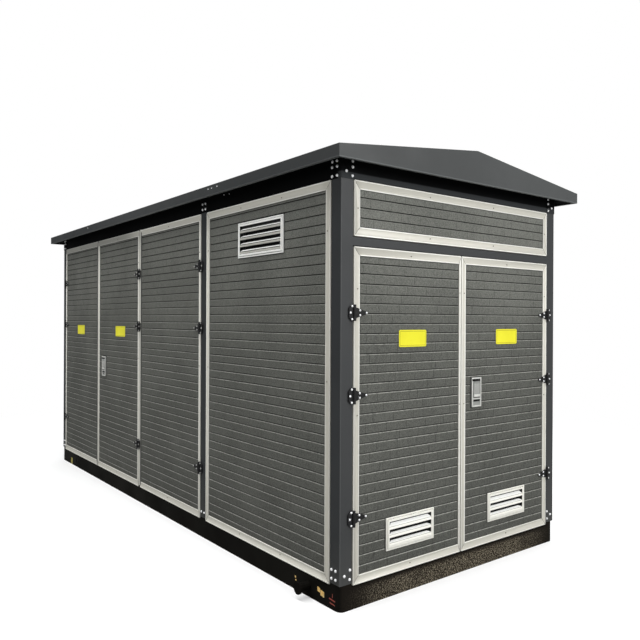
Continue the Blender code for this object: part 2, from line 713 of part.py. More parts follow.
# A door leaf in its own axes: the hinge pin is at x = 0, y = 0 and the leaf
# lies towards +X when side is +1; heights stay those of the whole substation
def make_door(label, wall, x_range, z_range, side, heights, bars, louvre=None, lock_inset=None):
    hinge_edge = x_range[0] if side > 0 else x_range[1]
    axis_x = hinge_edge - side * HINGE_GAP / 2
    axis = bpy.data.objects.new(f"{label}_axis", None)
    bpy.context.collection.objects.link(axis)
    place_on_wall(axis, wall, (axis_x, -KNUCKLE_PROUD, 0))
    local = (x_range[0] - axis_x, x_range[1] - axis_x)
    y = KNUCKLE_PROUD - FRAME_PROUD
    if louvre:
        louvre = (louvre[0] - axis_x, *louvre[1:])
    frame = make_frame(f"{label}_frame", local, z_range, y, bars, FRAME_DEPTH)
    board = make_board(f"{label}_board", local, z_range, y, bars, FRAME_DEPTH, louvre)
    board_y = y + FRAME_LIP + SEAT_GAP
    combine(board, moving_hinges(side, heights, board_y))
    made = [frame, board]
    if louvre:
        made.append(make_louvre(f"{label}_louvre", louvre, y))
    if lock_inset:
        free_edge = local[1] if side > 0 else local[0]
        lock_x = free_edge - side * (lock_inset + LOCK_WIDTH / 2)
        made.append(make_lock_housing(f"{label}_lock", lock_x, board_y))
        lever_axis = bpy.data.objects.new(f"{label}_lever_axis", None)
        bpy.context.collection.objects.link(lever_axis)
        lever_axis.parent = axis
        lever_axis.location = lever_pin(lock_x, board_y)
        lever = make_lever(f"{label}_lever")
        lever.parent = lever_axis
    for obj in made:
        obj.parent = axis
    return made


# Middle of the lever's pin in the leaf's axes
def lever_pin(lock_x, board_y):
    rise = LOCK_HEIGHT / 2 - LEVER_DROP - LEVER_TUBE_RADIUS
    return (lock_x, board_y - LEVER_CLEARANCE - LEVER_TUBE_RADIUS, LOCK_Z + rise)


# Lock housing: a cast plate with a recess, a cross pin and a key slot
def make_lock_housing(name, x, board_y):
    bm = bmesh.new()
    half_w, half_h = LOCK_WIDTH / 2, LOCK_HEIGHT / 2
    back = board_y - SEAT_GAP
    face = back - LOCK_DEPTH
    add_box(bm, (x - half_w, face, LOCK_Z - half_h), (x + half_w, back, LOCK_Z + half_h))
    rim = [e for e in bm.edges if all(v.co.y < back - SEAT_GAP for v in e.verts)]
    bmesh.ops.bevel(bm, geom=rim, offset=LOCK_EDGE, segments=1, affect="EDGES")
    housing = new_object(name, bm, (0.55, 0.56, 0.57), 0.7, 0.35)
    cut = bmesh.new()
    pin_x, pin_y, pin_z = lever_pin(x, board_y)
    lever_half = lever_width() / 2
    top = LOCK_Z + half_h - RECESS_TOP
    bottom = pin_z + LEVER_TUBE_RADIUS - LEVER_HEIGHT - LEVER_CLEARANCE
    add_box(cut, (x - lever_half - LEVER_CLEARANCE, face - LEVER_CLEARANCE, bottom),
            (x + lever_half + LEVER_CLEARANCE, back - LOCK_FLOOR, top))
    slot = LOCK_Z + half_h - KEY_SLOT_DROP
    add_box(cut, (x - KEY_SLOT_WIDTH / 2, face - LEVER_CLEARANCE, slot - KEY_SLOT_HEIGHT),
            (x + KEY_SLOT_WIDTH / 2, face + KEY_SLOT_DEPTH, slot))
    combine(housing, [new_object("recess_tool", cut)], "DIFFERENCE")
    pin = bmesh.new()
    reach = lever_half + LEVER_CLEARANCE + LEVER_PIN_RADIUS
    add_lathe(pin, [(LEVER_PIN_RADIUS, -reach), (LEVER_PIN_RADIUS, reach)],
              (pin_x, pin_y, pin_z), "X")
    combine(housing, [new_object("pin_tool", pin)])
    return housing


def lever_width():
    return LOCK_WIDTH - 2 * (LOCK_RIM + LEVER_CLEARANCE)


# Flat lever hanging from its pin, in axes whose origin is on the pin
def make_lever(name):
    half = lever_width() / 2
    bm = bmesh.new()
    outer = LEVER_TUBE_RADIUS
    inner = LEVER_PIN_RADIUS + LEVER_TUBE_CLEARANCE
    profile = [(outer, -half), (outer, half), (inner, half), (inner, -half)]
    add_lathe(bm, profile, (0, 0, 0), "X", closed=True)
    lever = new_object(name, bm, (0.48, 0.49, 0.50), 0.7, 0.35)
    blade = bmesh.new()
    foot = LEVER_TUBE_RADIUS - LEVER_HEIGHT
    swell = LEVER_THICK / 3
    front = -outer + swell / 2
    outline = [(front + LEVER_THICK, -inner - SEAT_GAP), (front, -inner - SEAT_GAP),
               (front, foot + LEVER_LIP + LEVER_LIP_RISE),
               (front - swell, foot + LEVER_LIP), (front - swell, foot),
               (front + LEVER_THICK - swell, foot),
               (front + LEVER_THICK, foot + LEVER_LIP_RISE)]
    add_prism(blade, [(-half, y, z) for y, z in outline], (2 * half, 0, 0))
    combine(lever, [new_object("lever_tool", blade)])
    return lever


# Roof deck: the soffit plate with upright gable ribs that carry the sheets
def make_roof_deck():
    bm = bmesh.new()
    half_x = ROOF_HALF_L - ROOF_SHEET - SEAT_GAP
    half_y = ROOF_HALF_W - ROOF_SHEET - SEAT_GAP
    top = DECK_BOTTOM + DECK_THICK
    add_box(bm, (-half_x, -half_y, DECK_BOTTOM), (half_x, half_y, top))
    deck = new_object("roof_deck", bm, (0.02, 0.021, 0.024), 0.4, 0.6)
    ribs = bmesh.new()
    foot = top - DECK_THICK / 2
    reach = half_y - ROOF_LIP
    first = RIB_WIDTH / 2 - half_x
    pitch = (-2 * first - RIB_WIDTH) / (RIB_COUNT - 1)
    for index in range(RIB_COUNT):
        x = first + index * pitch
        outline = [(x, -reach, foot), (x, reach, foot), (x, reach, rib_height(reach)),
                   (x, 0, rib_height(0)), (x, -reach, rib_height(reach))]
        add_prism(ribs, outline, (RIB_WIDTH, 0, 0))
    combine(deck, [new_object("rib_tool", ribs)])
    return deck


def roof_height(y):
    return EAVE_TOP + ROOF_RISE * (1 - abs(y) / ROOF_HALF_W)


def slope_drop():
    return ROOF_SHEET * math.hypot(ROOF_RISE, ROOF_HALF_W) / ROOF_HALF_W


def rib_height(y):
    return roof_height(y) - slope_drop() - SEAT_GAP


# One roof sheet, folded down into the fascia and back under it
def make_roof_slope(name, side):
    t = ROOF_SHEET
    half_x = ROOF_HALF_L - t - SEAT_GAP
    ridge = SEAT_GAP / 2
    edge = ROOF_HALF_W
    outline = [(edge, EAVE_BOTTOM), (edge, EAVE_TOP), (ridge, roof_height(ridge)),
               (ridge, roof_height(ridge) - slope_drop()),
               (edge - t, roof_height(edge - t) - slope_drop()), (edge - t, EAVE_BOTTOM + t),
               (edge - ROOF_LIP, EAVE_BOTTOM + t), (edge - ROOF_LIP, EAVE_BOTTOM)]
    bm = bmesh.new()
    add_prism(bm, [(-half_x, side * y, z) for y, z in outline], (2 * half_x, 0, 0))
    return new_object(name, bm, (0.075, 0.08, 0.085), 0.5, 0.5)


# Gable plate with its lower edge folded inwards
def make_gable(name, side):
    t = ROOF_SHEET
    edge = ROOF_HALF_W
    outline = [(-edge, EAVE_BOTTOM), (edge, EAVE_BOTTOM), (edge, EAVE_TOP),
               (0, roof_height(0)), (-edge, EAVE_TOP)]
    bm = bmesh.new()
    outer = side * ROOF_HALF_L
    add_prism(bm, [(outer, y, z) for y, z in outline], (-side * t, 0, 0))
    gable = new_object(name, bm, (0.085, 0.09, 0.095), 0.5, 0.5)
    lip = bmesh.new()
    reach = edge - ROOF_LIP - SEAT_GAP
    inner = side * (ROOF_HALF_L - ROOF_LIP)
    middle = side * (ROOF_HALF_L - t / 2)
    low = (min(inner, middle), -reach, EAVE_BOTTOM)
    high = (max(inner, middle), reach, EAVE_BOTTOM + t)
    add_box(lip, low, high)
    combine(gable, [new_object("lip_tool", lip)])
    return gable


def low_louvre(x):
    return (x, LEAF_BOTTOM + LOUVRE_RISE, LOUVRE_WIDTH, LOUVRE_HEIGHT, LOUVRE_BLADES)


def high_louvre(x):
    height = SIDE_TOP - HIGH_LOUVRE_DROP
    return (x, height, HIGH_LOUVRE_WIDTH, HIGH_LOUVRE_HEIGHT, HIGH_LOUVRE_BLADES)


def mirrored(edges):
    return (-edges[1], -edges[0])


def middle_of(edges):
    return (edges[0] + edges[1]) / 2


def make_skeleton():
    steel = ((0.040, 0.043, 0.048), 0.5, 0.5)
    alloy = ((0.62, 0.61, 0.57), 0.7, 0.35)
    make_base()
    make_floor()
    ends = END_HINGES
    sides = SIDE_HINGES
    make_corner_post("corner_post_front_right", 1, -1, [("right", -END_EDGE, 1, ends)])
    make_corner_post("corner_post_rear_right", 1, 1, [("right", END_EDGE, -1, ends)])
    make_corner_post("corner_post_front_left", -1, -1, [("front", DOOR_1[0], 1, sides)])
    make_corner_post("corner_post_rear_left", -1, 1, [])
    make_hat_post("mid_post_front", "front", MID_POST, steel, HINGE_PLATE,
                  [(DOOR_3[1], -1, sides)])
    make_hat_post("mid_post_rear", "rear", mirrored(MID_POST), steel, HINGE_PLATE, [])
    make_hat_post("mullion_front", "front", MULLION, alloy, NARROW_HINGE_PLATE,
                  [(DOOR_2[1], -1, sides)])
    make_top_ring()
    make_header("right")
    make_header("left")


def make_doors():
    side_z = (LEAF_BOTTOM, SIDE_TOP)
    end_z = (LEAF_BOTTOM, END_DOOR_TOP)
    ends = END_HINGES
    sides = SIDE_HINGES
    rails = (RAIL, RAIL)
    make_door("end_door_left", "right", END_LEFT, end_z, 1, ends, (STILE, FREE_STILE, *rails),
              low_louvre(middle_of(END_LEFT)))
    make_door("end_door_right", "right", END_RIGHT, end_z, -1, ends,
              (MEETING_STILE, STILE, *rails), low_louvre(middle_of(END_RIGHT)), END_LOCK_INSET)
    make_door("side_door_1", "front", DOOR_1, side_z, 1, sides,
              (NARROW_STILE, FREE_STILE, *rails))
    make_door("side_door_2", "front", DOOR_2, side_z, -1, sides,
              (MEETING_STILE, NARROW_STILE, *rails), lock_inset=SIDE_LOCK_INSET)
    make_door("side_door_3", "front", DOOR_3, side_z, -1, sides,
              (FREE_STILE, NARROW_STILE, *rails))


def make_panels():
    side_z = (LEAF_BOTTOM, SIDE_TOP)
    end_z = (LEAF_BOTTOM, END_DOOR_TOP)
    over_z = (TRANSOM_BOTTOM, SIDE_TOP)
    across = (-END_EDGE, END_EDGE)
    make_fixed_panel("front_panel", "front", SIDE_PANEL, side_z,
                     high_louvre(middle_of(SIDE_PANEL)))
    make_fixed_panel("rear_panel", "rear", mirrored(SIDE_PANEL), side_z,
                     high_louvre(-middle_of(SIDE_PANEL)))
    make_fixed_panel("transom_right", "right", across, over_z)
    make_fixed_panel("transom_left", "left", across, over_z)
    rear_bays = [mirrored(bay) for bay in (DOOR_3, DOOR_2, DOOR_1)]
    make_ladder_panel("rear_bays", "rear", rear_bays, side_z, [None] * 3)
    louvres = [low_louvre(middle_of(END_LEFT)), low_louvre(middle_of(END_RIGHT))]
    make_ladder_panel("left_end", "left", [END_LEFT, END_RIGHT], end_z, louvres)


def make_roof():
    make_roof_deck()
    make_roof_slope("roof_slope_front", -1)
    make_roof_slope("roof_slope_rear", 1)
    make_gable("gable_right", 1)
    make_gable("gable_left", -1)


clear_scene()
make_skeleton()
make_doors()
make_panels()
make_roof()
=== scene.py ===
import math

import bmesh
import bpy
from mathutils import Matrix, Vector


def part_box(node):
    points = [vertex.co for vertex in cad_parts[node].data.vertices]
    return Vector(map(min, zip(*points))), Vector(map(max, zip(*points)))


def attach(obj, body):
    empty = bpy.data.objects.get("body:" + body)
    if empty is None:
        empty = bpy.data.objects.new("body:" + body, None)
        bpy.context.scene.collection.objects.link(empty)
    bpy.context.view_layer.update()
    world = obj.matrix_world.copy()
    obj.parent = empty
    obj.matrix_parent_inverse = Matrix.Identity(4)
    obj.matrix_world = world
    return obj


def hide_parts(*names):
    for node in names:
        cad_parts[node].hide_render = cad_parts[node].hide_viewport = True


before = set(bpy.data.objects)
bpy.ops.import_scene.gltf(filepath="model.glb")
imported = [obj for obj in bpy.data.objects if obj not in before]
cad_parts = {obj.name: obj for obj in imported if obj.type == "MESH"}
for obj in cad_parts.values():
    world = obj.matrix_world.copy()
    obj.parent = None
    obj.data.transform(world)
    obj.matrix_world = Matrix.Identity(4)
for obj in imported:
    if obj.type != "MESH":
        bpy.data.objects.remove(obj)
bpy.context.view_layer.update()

print("frame loaded:", len(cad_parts), "nodes")

# Each wall is modelled facing -Y at y = 0, then turned to its own side
halfLong, halfWide = 2.475, 1.0
wallPlaces = {
    "front": ((0, -halfWide, 0), 0),
    "right": ((halfLong, 0, 0), 90),
    "rear": ((0, halfWide, 0), 180),
    "left": ((-halfLong, 0, 0), -90),
}


def pickOnly(*objs):
    bpy.ops.object.select_all(action="DESELECT")
    for obj in objs:
        obj.select_set(True)
    bpy.context.view_layer.objects.active = objs[-1]


def addObject(name, data):
    obj = bpy.data.objects.new(name, data)
    bpy.context.collection.objects.link(obj)
    return obj


def settle(obj):  # puts the object's place, turn and size into its mesh
    pickOnly(obj)
    bpy.ops.object.transform_apply(location=True, rotation=True, scale=True)
    return obj


def startCube(low, high, name="work"):
    middle = [(a + b) / 2 for a, b in zip(low, high)]
    size = [b - a for a, b in zip(low, high)]
    bpy.ops.mesh.primitive_cube_add(size=1, location=middle, scale=size)
    obj = bpy.context.active_object
    obj.name = name
    return settle(obj)


def startDisc(radius, depth, place, sides=12, name="work"):  # axis along Y
    bpy.ops.mesh.primitive_cylinder_add(vertices=sides, radius=radius, depth=depth,
                                        location=place, rotation=(math.pi / 2, 0, 0))
    obj = bpy.context.active_object
    obj.name = name
    return settle(obj)


def editOn(obj, kind="FACE"):
    pickOnly(obj)
    bpy.ops.object.mode_set(mode="EDIT")
    bpy.ops.mesh.select_mode(type=kind)
    bpy.ops.mesh.select_all(action="DESELECT")


def editOff():
    bpy.ops.object.mode_set(mode="OBJECT")


def editFacing(obj, both=False):  # starts editing with the faces that look out of the wall
    editOn(obj)
    bm = bmesh.from_edit_mesh(obj.data)
    for face in bm.faces:
        face.select_set(face.normal.y < -0.9 or both and face.normal.y > 0.9)
    bmesh.update_edit_mesh(obj.data)


def chooseEdges(obj, test):
    bm = bmesh.from_edit_mesh(obj.data)
    for edge in bm.edges:
        edge.select_set(bool(test(edge.verts[0].co, edge.verts[1].co)))
    bmesh.update_edit_mesh(obj.data)


def inset(thickness, depth=0.0, each=False):
    bpy.ops.mesh.inset(thickness=thickness, depth=depth, use_individual=each)


def pushOut(value):
    bpy.ops.mesh.extrude_region_move(TRANSFORM_OT_translate={"value": value})


def copyOf(source, shift=(0, 0, 0), stretch=(1, 1, 1)):
    pickOnly(source)
    bpy.ops.object.duplicate(linked=False)
    obj = bpy.context.active_object
    obj.scale = stretch
    obj.location = shift
    return settle(obj)


def joinAll(objs, name):
    pickOnly(*objs)
    if len(objs) > 1:
        bpy.ops.object.join()
    obj = bpy.context.active_object
    obj.name = name
    obj.data.name = name
    return obj


def applyModifier(obj, kind, **values):
    pickOnly(obj)
    modifier = obj.modifiers.new("step", kind)
    for key, value in values.items():
        setattr(modifier, key, value)
    bpy.ops.object.modifier_apply(modifier=modifier.name)


def repeat(obj, count, step):
    applyModifier(obj, "ARRAY", count=count, use_relative_offset=False,
                  use_constant_offset=True, constant_offset_displace=step)


def soften(obj, width, segments=2, angle=30):
    applyModifier(obj, "BEVEL", width=width, segments=segments, limit_method="ANGLE",
                  angle_limit=math.radians(angle))


def throwAway(obj):
    bpy.data.objects.remove(obj)


# Each cut is a point and the way that is cut off; seam moves the cut inwards
def cutOff(obj, cuts, seam=0.0):
    pickOnly(obj)
    bpy.ops.object.mode_set(mode="EDIT")
    for point, way in cuts:
        way = Vector(way).normalized()
        bpy.ops.mesh.select_all(action="SELECT")
        bpy.ops.mesh.bisect(plane_co=Vector(point) - way * seam, plane_no=way, use_fill=True,
                            clear_outer=True)
    editOff()


def nodeCopy(node, wall):  # a merged copy of a CAD node's mesh, in the axes of its wall
    obj = addObject("copy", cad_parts[node].data.copy())
    obj.data.materials.clear()
    origin, angle = wallPlaces[wall]
    place = Matrix.Translation(origin) @ Matrix.Rotation(math.radians(angle), 4, "Z")
    obj.matrix_world = place.inverted()
    settle(obj)
    editOn(obj, "VERT")
    bpy.ops.mesh.select_all(action="SELECT")
    bpy.ops.mesh.remove_doubles(threshold=0.00002)
    editOff()
    return obj


# A node's box in the axes of its wall: low x, high x, low z, high z
def wallBox(node, wall, margin=0.0):
    low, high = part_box(node)
    x0, x1 = {"front": (low.x, high.x), "rear": (-high.x, -low.x),
              "right": (low.y, high.y), "left": (-high.y, -low.y)}[wall]
    return x0 + margin, x1 - margin, low.z + margin, high.z - margin


def faceOf(node, wall):  # the depth of a node's outer face, below 0 in front of the wall
    low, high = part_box(node)
    return {"front": low.y + halfWide, "right": halfLong - high.x}[wall]


# A rectangular border lying on a wall, open in its middle
def makeRim(x0, x1, z0, z1, border, face, back):
    rim = startCube((x0, face, z0), (x1, back, z1))
    editFacing(rim, both=True)
    inset(border, each=True)
    bpy.ops.mesh.bridge_edge_loops()
    editOff()
    return rim


def coat(obj, *names):
    for name in names:
        obj.data.materials.append(finishes[name])


def finishPiece(obj, wall, body, finish=None, smooth=30):
    origin, angle = wallPlaces[wall]
    obj.location = origin
    obj.rotation_euler = (0, 0, math.radians(angle))
    settle(obj)
    if smooth:
        bpy.ops.object.shade_smooth_by_angle(angle=math.radians(smooth))
    if finish:
        coat(obj, finish)
    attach(obj, body)


# Camera solved from the photograph's straight edges
shot = {"place": (5.245, -3.279, 1.598), "turn": (89.971, -0.253, 52.364), "lens": 37.149}
camData = bpy.data.cameras.new("camera")
camData.lens = shot["lens"]
camData.sensor_width = 36
camera = addObject("camera", camData)
camera.location = shot["place"]
camera.rotation_euler = [math.radians(a) for a in shot["turn"]]
bpy.context.scene.camera = camera
bpy.context.scene.view_settings.view_transform = "Standard"

lamps = {
    "top": {"place": (0.5, -0.5, 8.0), "aim": (0.3, 0, 0), "size": (9, 8), "power": 1500},
    "end": {"place": (9.0, 1.0, 4.2), "aim": (2.4, 0, 1.3), "size": (6, 4.5), "power": 430},
    "side": {"place": (1.5, -10.0, 4.8), "aim": (0, -1, 1.2), "size": (9, 4.5), "power": 300},
}
for label, lamp in lamps.items():
    lampData = bpy.data.lights.new(label, "AREA")
    lampData.shape = "RECTANGLE"
    lampData.size, lampData.size_y = lamp["size"]
    lampData.energy = lamp["power"]
    lampObj = addObject(label, lampData)
    lampObj.location = lamp["place"]
    aim = Vector(lamp["aim"]) - Vector(lamp["place"])
    lampObj.rotation_euler = aim.to_track_quat("-Z", "Y").to_euler()
print("camera and lamps set")


# Helpers that add and link material nodes
def addNode(tree, kind, **settings):
    node = tree.nodes.new(kind)
    node.location = (-220 * (len(tree.nodes) % 9), -260 * (len(tree.nodes) // 9))
    for key, value in settings.items():
        setattr(node, key, value)
    return node


def feed(tree, node, label, value):  # value is a socket or a plain value
    if isinstance(value, bpy.types.NodeSocket):
        tree.links.new(value, node.inputs[label])
    else:
        node.inputs[label].default_value = value


def mathNode(tree, operation, first, second=0.0, clamp=False):
    node = addNode(tree, "ShaderNodeMath", operation=operation, use_clamp=clamp)
    feed(tree, node, 0, first)
    feed(tree, node, 1, second)
    return node.outputs[0]


def ramp(tree, value, low, high):  # smooth step from 0 at low to 1 at high
    node = addNode(tree, "ShaderNodeMapRange", interpolation_type="SMOOTHSTEP")
    feed(tree, node, "Value", value)
    feed(tree, node, "From Min", low)
    feed(tree, node, "From Max", high)
    return node.outputs[0]


def times(tree, first, second, clamp=False):
    return mathNode(tree, "MULTIPLY", first, second, clamp)


def plus(tree, first, second, clamp=False):
    return mathNode(tree, "ADD", first, second, clamp)


def sizeOf(tree, value):  # the value without its sign
    return mathNode(tree, "ABSOLUTE", value)


def mixColour(tree, factor, first, second):
    node = addNode(tree, "ShaderNodeMix", data_type="RGBA")
    feed(tree, node, 0, factor)
    for index, value in ((6, first), (7, second)):
        if not isinstance(value, bpy.types.NodeSocket):
            value = (*value, 1.0)
        feed(tree, node, index, value)
    return node.outputs[2]


def scaleColour(tree, colour, value):
    node = addNode(tree, "ShaderNodeVectorMath", operation="SCALE")
    feed(tree, node, 0, colour)
    feed(tree, node, "Scale", value)
    return node.outputs[0]


def noiseAt(tree, scale, detail=3.0, stretch=None, rough=0.55):
    place = addNode(tree, "ShaderNodeTexCoord").outputs["Object"]
    if stretch:
        mapping = addNode(tree, "ShaderNodeMapping")
        feed(tree, mapping, "Vector", place)
        mapping.inputs["Scale"].default_value = stretch
        place = mapping.outputs[0]
    node = addNode(tree, "ShaderNodeTexNoise")
    feed(tree, node, "Vector", place)
    feed(tree, node, "Scale", scale)
    feed(tree, node, "Detail", detail)
    feed(tree, node, "Roughness", rough)
    return node.outputs[0]


def objectPlace(tree):
    place = addNode(tree, "ShaderNodeTexCoord").outputs["Object"]
    parts = addNode(tree, "ShaderNodeSeparateXYZ")
    feed(tree, parts, 0, place)
    return parts.outputs


def startGroup(name, inputs, outputs):
    tree = bpy.data.node_groups.new(name, "ShaderNodeTree")
    for label, value in inputs:
        socket = tree.interface.new_socket(label, in_out="INPUT", socket_type="NodeSocketFloat")
        socket.default_value = value
    for label in outputs:
        tree.interface.new_socket(label, in_out="OUTPUT", socket_type="NodeSocketFloat")
    return tree, addNode(tree, "NodeGroupInput"), addNode(tree, "NodeGroupOutput")


# Paint: fine orange peel for the bump, broad clouds for tone and gloss
paintGrain, groupIn, groupOut = startGroup(
    "paintGrain", [("Grain", 260.0), ("Cloud", 2.2)], ["Height", "Tone"])
fine = noiseAt(paintGrain, groupIn.outputs["Grain"], 2.0)
broad = noiseAt(paintGrain, groupIn.outputs["Cloud"], 4.0)
paintGrain.links.new(fine, groupOut.inputs["Height"])
paintGrain.links.new(ramp(paintGrain, broad, 0.3, 0.7), groupOut.inputs["Tone"])

# Dust and splash that rise from the ground, broken up by noise
groundSoil, groupIn, groupOut = startGroup(
    "groundSoil", [("Reach", 0.5), ("Amount", 0.5)], ["Mask"])
share = mathNode(groundSoil, "DIVIDE", objectPlace(groundSoil)["Z"], groupIn.outputs["Reach"])
fade = mathNode(groundSoil, "SUBTRACT", 1.0, share, clamp=True)
patchy = times(groundSoil, fade, noiseAt(groundSoil, 9.0, 5.0))
patchy = times(groundSoil, patchy, 2.0)
patchy = times(groundSoil, patchy, groupIn.outputs["Amount"], clamp=True)
groundSoil.links.new(patchy, groupOut.inputs["Mask"])

# Rain streaks that run down a wall
rainStreaks, groupIn, groupOut = startGroup("rainStreaks", [("Width", 24.0)], ["Mask"])
stretched = noiseAt(rainStreaks, groupIn.outputs["Width"], 3.0, (1.0, 1.0, 0.05))
rainStreaks.links.new(ramp(rainStreaks, stretched, 0.5, 0.75), groupOut.inputs["Mask"])

# How far a point stands past the nearest wall's face, and 1 along the folded corners
pastWalls, groupIn, groupOut = startGroup("pastWalls", [("Fold", 0.006)], ["Past", "Corner"])
parts = objectPlace(pastWalls)
pastX = mathNode(pastWalls, "SUBTRACT", sizeOf(pastWalls, parts["X"]), halfLong)
pastY = mathNode(pastWalls, "SUBTRACT", sizeOf(pastWalls, parts["Y"]), halfWide)
pastWalls.links.new(mathNode(pastWalls, "MAXIMUM", pastX, pastY), groupOut.inputs["Past"])
sunk = times(pastWalls, mathNode(pastWalls, "MINIMUM", pastX, pastY), -1.0)
sunk = mathNode(pastWalls, "DIVIDE", sunk, groupIn.outputs["Fold"])
pastWalls.links.new(ramp(pastWalls, sunk, 1.0, 0.3), groupOut.inputs["Corner"])

# Coarse mineral speckle, a factor round 1 that multiplies a colour
mineral, groupIn, groupOut = startGroup("mineral", [("Scale", 150.0), ("Depth", 0.3)], ["Factor"])
speck = noiseAt(mineral, groupIn.outputs["Scale"], 2.0, rough=0.7)
speck = times(mineral, mathNode(mineral, "SUBTRACT", speck, 0.5), groupIn.outputs["Depth"])
speck = plus(mineral, times(mineral, speck, 4.0), 1.0)
mineral.links.new(speck, groupOut.inputs["Factor"])


def placeGroup(tree, group, **values):
    node = addNode(tree, "ShaderNodeGroup", node_tree=group)
    for label, value in values.items():
        feed(tree, node, label, value)
    return node.outputs


usualLook = {
    "grain": 600.0, "cloud": 2.2, "bump": 0.15, "bumpDepth": 0.0005, "gloss": 0.3, "metal": 0.0,
    "rough": (0.4, 0.6), "reach": 0.4, "soil": 0.25, "soilColour": (0.10, 0.095, 0.08),
    "streaks": 0.12, "extra": None,
}


# A painted or metal finish; a look's extra(tree, colour) changes the colour further
def makeFinish(name, look):
    look = {**usualLook, **look}
    material = bpy.data.materials.new(name)
    material.use_nodes = True
    tree = material.node_tree
    shader = tree.nodes["Principled BSDF"]
    grain = placeGroup(tree, paintGrain, Grain=look["grain"], Cloud=look["cloud"])
    soil = placeGroup(tree, groundSoil, Reach=look["reach"], Amount=look["soil"])["Mask"]
    streak = times(tree, placeGroup(tree, rainStreaks)["Mask"], look["streaks"])
    colour = mixColour(tree, grain["Tone"], look["colour"], look["shade"])
    colour = mixColour(tree, streak, colour, look["shade"])
    colour = mixColour(tree, soil, colour, look["soilColour"])
    if look["extra"]:
        colour = look["extra"](tree, colour)
    low, high = look["rough"]
    rough = plus(tree, times(tree, grain["Tone"], high - low), low)
    bump = addNode(tree, "ShaderNodeBump")
    for label, value in (("Strength", look["bump"]), ("Distance", look["bumpDepth"]),
                         ("Height", grain["Height"])):
        feed(tree, bump, label, value)
    for label, value in (("Base Color", colour), ("Roughness", rough), ("Metallic", look["metal"]),
                         ("Specular IOR Level", look["gloss"]), ("Normal", bump.outputs[0])):
        feed(tree, shader, label, value)
    return material


def endsOnly(tree, low, high):  # 1 on the two end walls, 0 on the long sides
    return ramp(tree, sizeOf(tree, objectPlace(tree)["X"]), low, high)


def blackHinges(tree, colour):  # plates and straps stand proud of the wall
    past = placeGroup(tree, pastWalls)["Past"]
    proud = mathNode(tree, "GREATER_THAN", past, 0.0008)
    return mixColour(tree, proud, colour, (0.012, 0.012, 0.013))


def jointShade(tree, colour):  # painted shade: a board's outer face shows only in the joint round the bricks, black
    past = placeGroup(tree, pastWalls)["Past"]
    outer = mathNode(tree, "GREATER_THAN", past, -0.006)
    return mixColour(tree, outer, colour, (0.008, 0.008, 0.008))


def litEndsAndFoldHighlight(tree, colour):  # painted light: paler paint on the ends and a painted highlight along a post's folded corner
    # painted light: the ends are paler, as more light falls on them
    ends = times(tree, endsOnly(tree, 2.466, 2.473), 0.3)
    colour = mixColour(tree, ends, colour, (0.10, 0.102, 0.102))
    # painted highlight along the folded corner
    foldHighlight = times(tree, placeGroup(tree, pastWalls)["Corner"], 0.4)
    return blackHinges(tree, mixColour(tree, foldHighlight, colour, (0.11, 0.115, 0.115)))


def troughShadeAndGrime(tree, colour):  # painted shade and grime on the bars' middles, which lie 2 mm lower than their ridges
    past = placeGroup(tree, pastWalls)["Past"]
    patches = ramp(tree, noiseAt(tree, 14.0, 4.0), 0.0, 0.4)
    troughGrimeAndShade = times(tree, ramp(tree, past, 0.0034, 0.0024), patches)
    colour = mixColour(tree, troughGrimeAndShade, colour, (0.66, 0.64, 0.565))
    parts = objectPlace(tree)
    # the top rails of side doors 1 and 2 lie in the shade of the eaves
    eaves = times(tree, ramp(tree, parts["Z"], 2.31, 2.33), ramp(tree, parts["X"], -0.2, -0.7))
    colour = mixColour(tree, times(tree, eaves, 0.62), colour, (0.16, 0.16, 0.145))
    # beige grime beside the front right post
    corner = times(tree, ramp(tree, parts["X"], 2.28, 2.34), ramp(tree, parts["Y"], -0.84, -0.90))
    return mixColour(tree, times(tree, corner, 0.45), colour, (0.44, 0.42, 0.365))


# The bricks carry an attribute: 0 in the groove under them, 1 on the face, 2 on the ledge
# painted light and shade on the bricks, with real mineral speckle
def brickSpeckleAndPaintedLight(tree, colour):
    height = objectPlace(tree)["Z"]
    speckle = placeGroup(tree, mineral, Scale=165.0, Depth=0.52)["Factor"]
    colour = scaleColour(tree, colour, speckle)
    # painted light: the bricks get lighter higher up
    rise = times(tree, mathNode(tree, "POWER", height, 3.0), 0.045)
    colour = scaleColour(tree, colour, plus(tree, rise, 0.91))
    # painted light: the end walls lighter still, high up
    ends = endsOnly(tree, 2.44, 2.46)
    endLight = times(tree, times(tree, ends, ramp(tree, height, 1.4, 1.8)), 0.15)
    colour = scaleColour(tree, colour, plus(tree, endLight, 1.0))
    relief = addNode(tree, "ShaderNodeAttribute", attribute_name="relief").outputs["Fac"]
    ledge = ramp(tree, relief, 1.3, 1.7)
    litLedges = ramp(tree, height, 2.0, 1.35)  # painted shade on the ledges under the eaves; lower ledges get pale dust and a painted highlight
    litLedges = mathNode(tree, "MAXIMUM", litLedges, times(tree, ends, 0.45))
    # painted shade: the ledges under the eaves are darkened
    shadedLedges = times(tree, mathNode(tree, "SUBTRACT", 1.0, litLedges), ledge)
    colour = mixColour(tree, times(tree, shadedLedges, 0.24), colour, (0.03, 0.03, 0.028))
    # pale dust and a painted highlight on the lower ledges, in ragged patches, paler on the ends as
    # painted light
    patches = ramp(tree, noiseAt(tree, 48.0, 4.0, rough=0.65), 0.3, 0.6)
    ledgeDustAndHighlight = plus(tree, times(tree, patches, 0.75), 0.2)
    ledgeDustAndHighlight = times(tree, times(tree, ledgeDustAndHighlight, ledge), litLedges)
    dustAndHighlightColour = mixColour(tree, ends, (0.29, 0.29, 0.265), (0.33, 0.33, 0.30))
    colour = mixColour(tree, ledgeDustAndHighlight, colour, dustAndHighlightColour)
    # painted shade: dark in the groove under each brick, and partly on its sides
    return mixColour(tree, ramp(tree, relief, 0.7, 0.3), colour, (0.012, 0.012, 0.011))


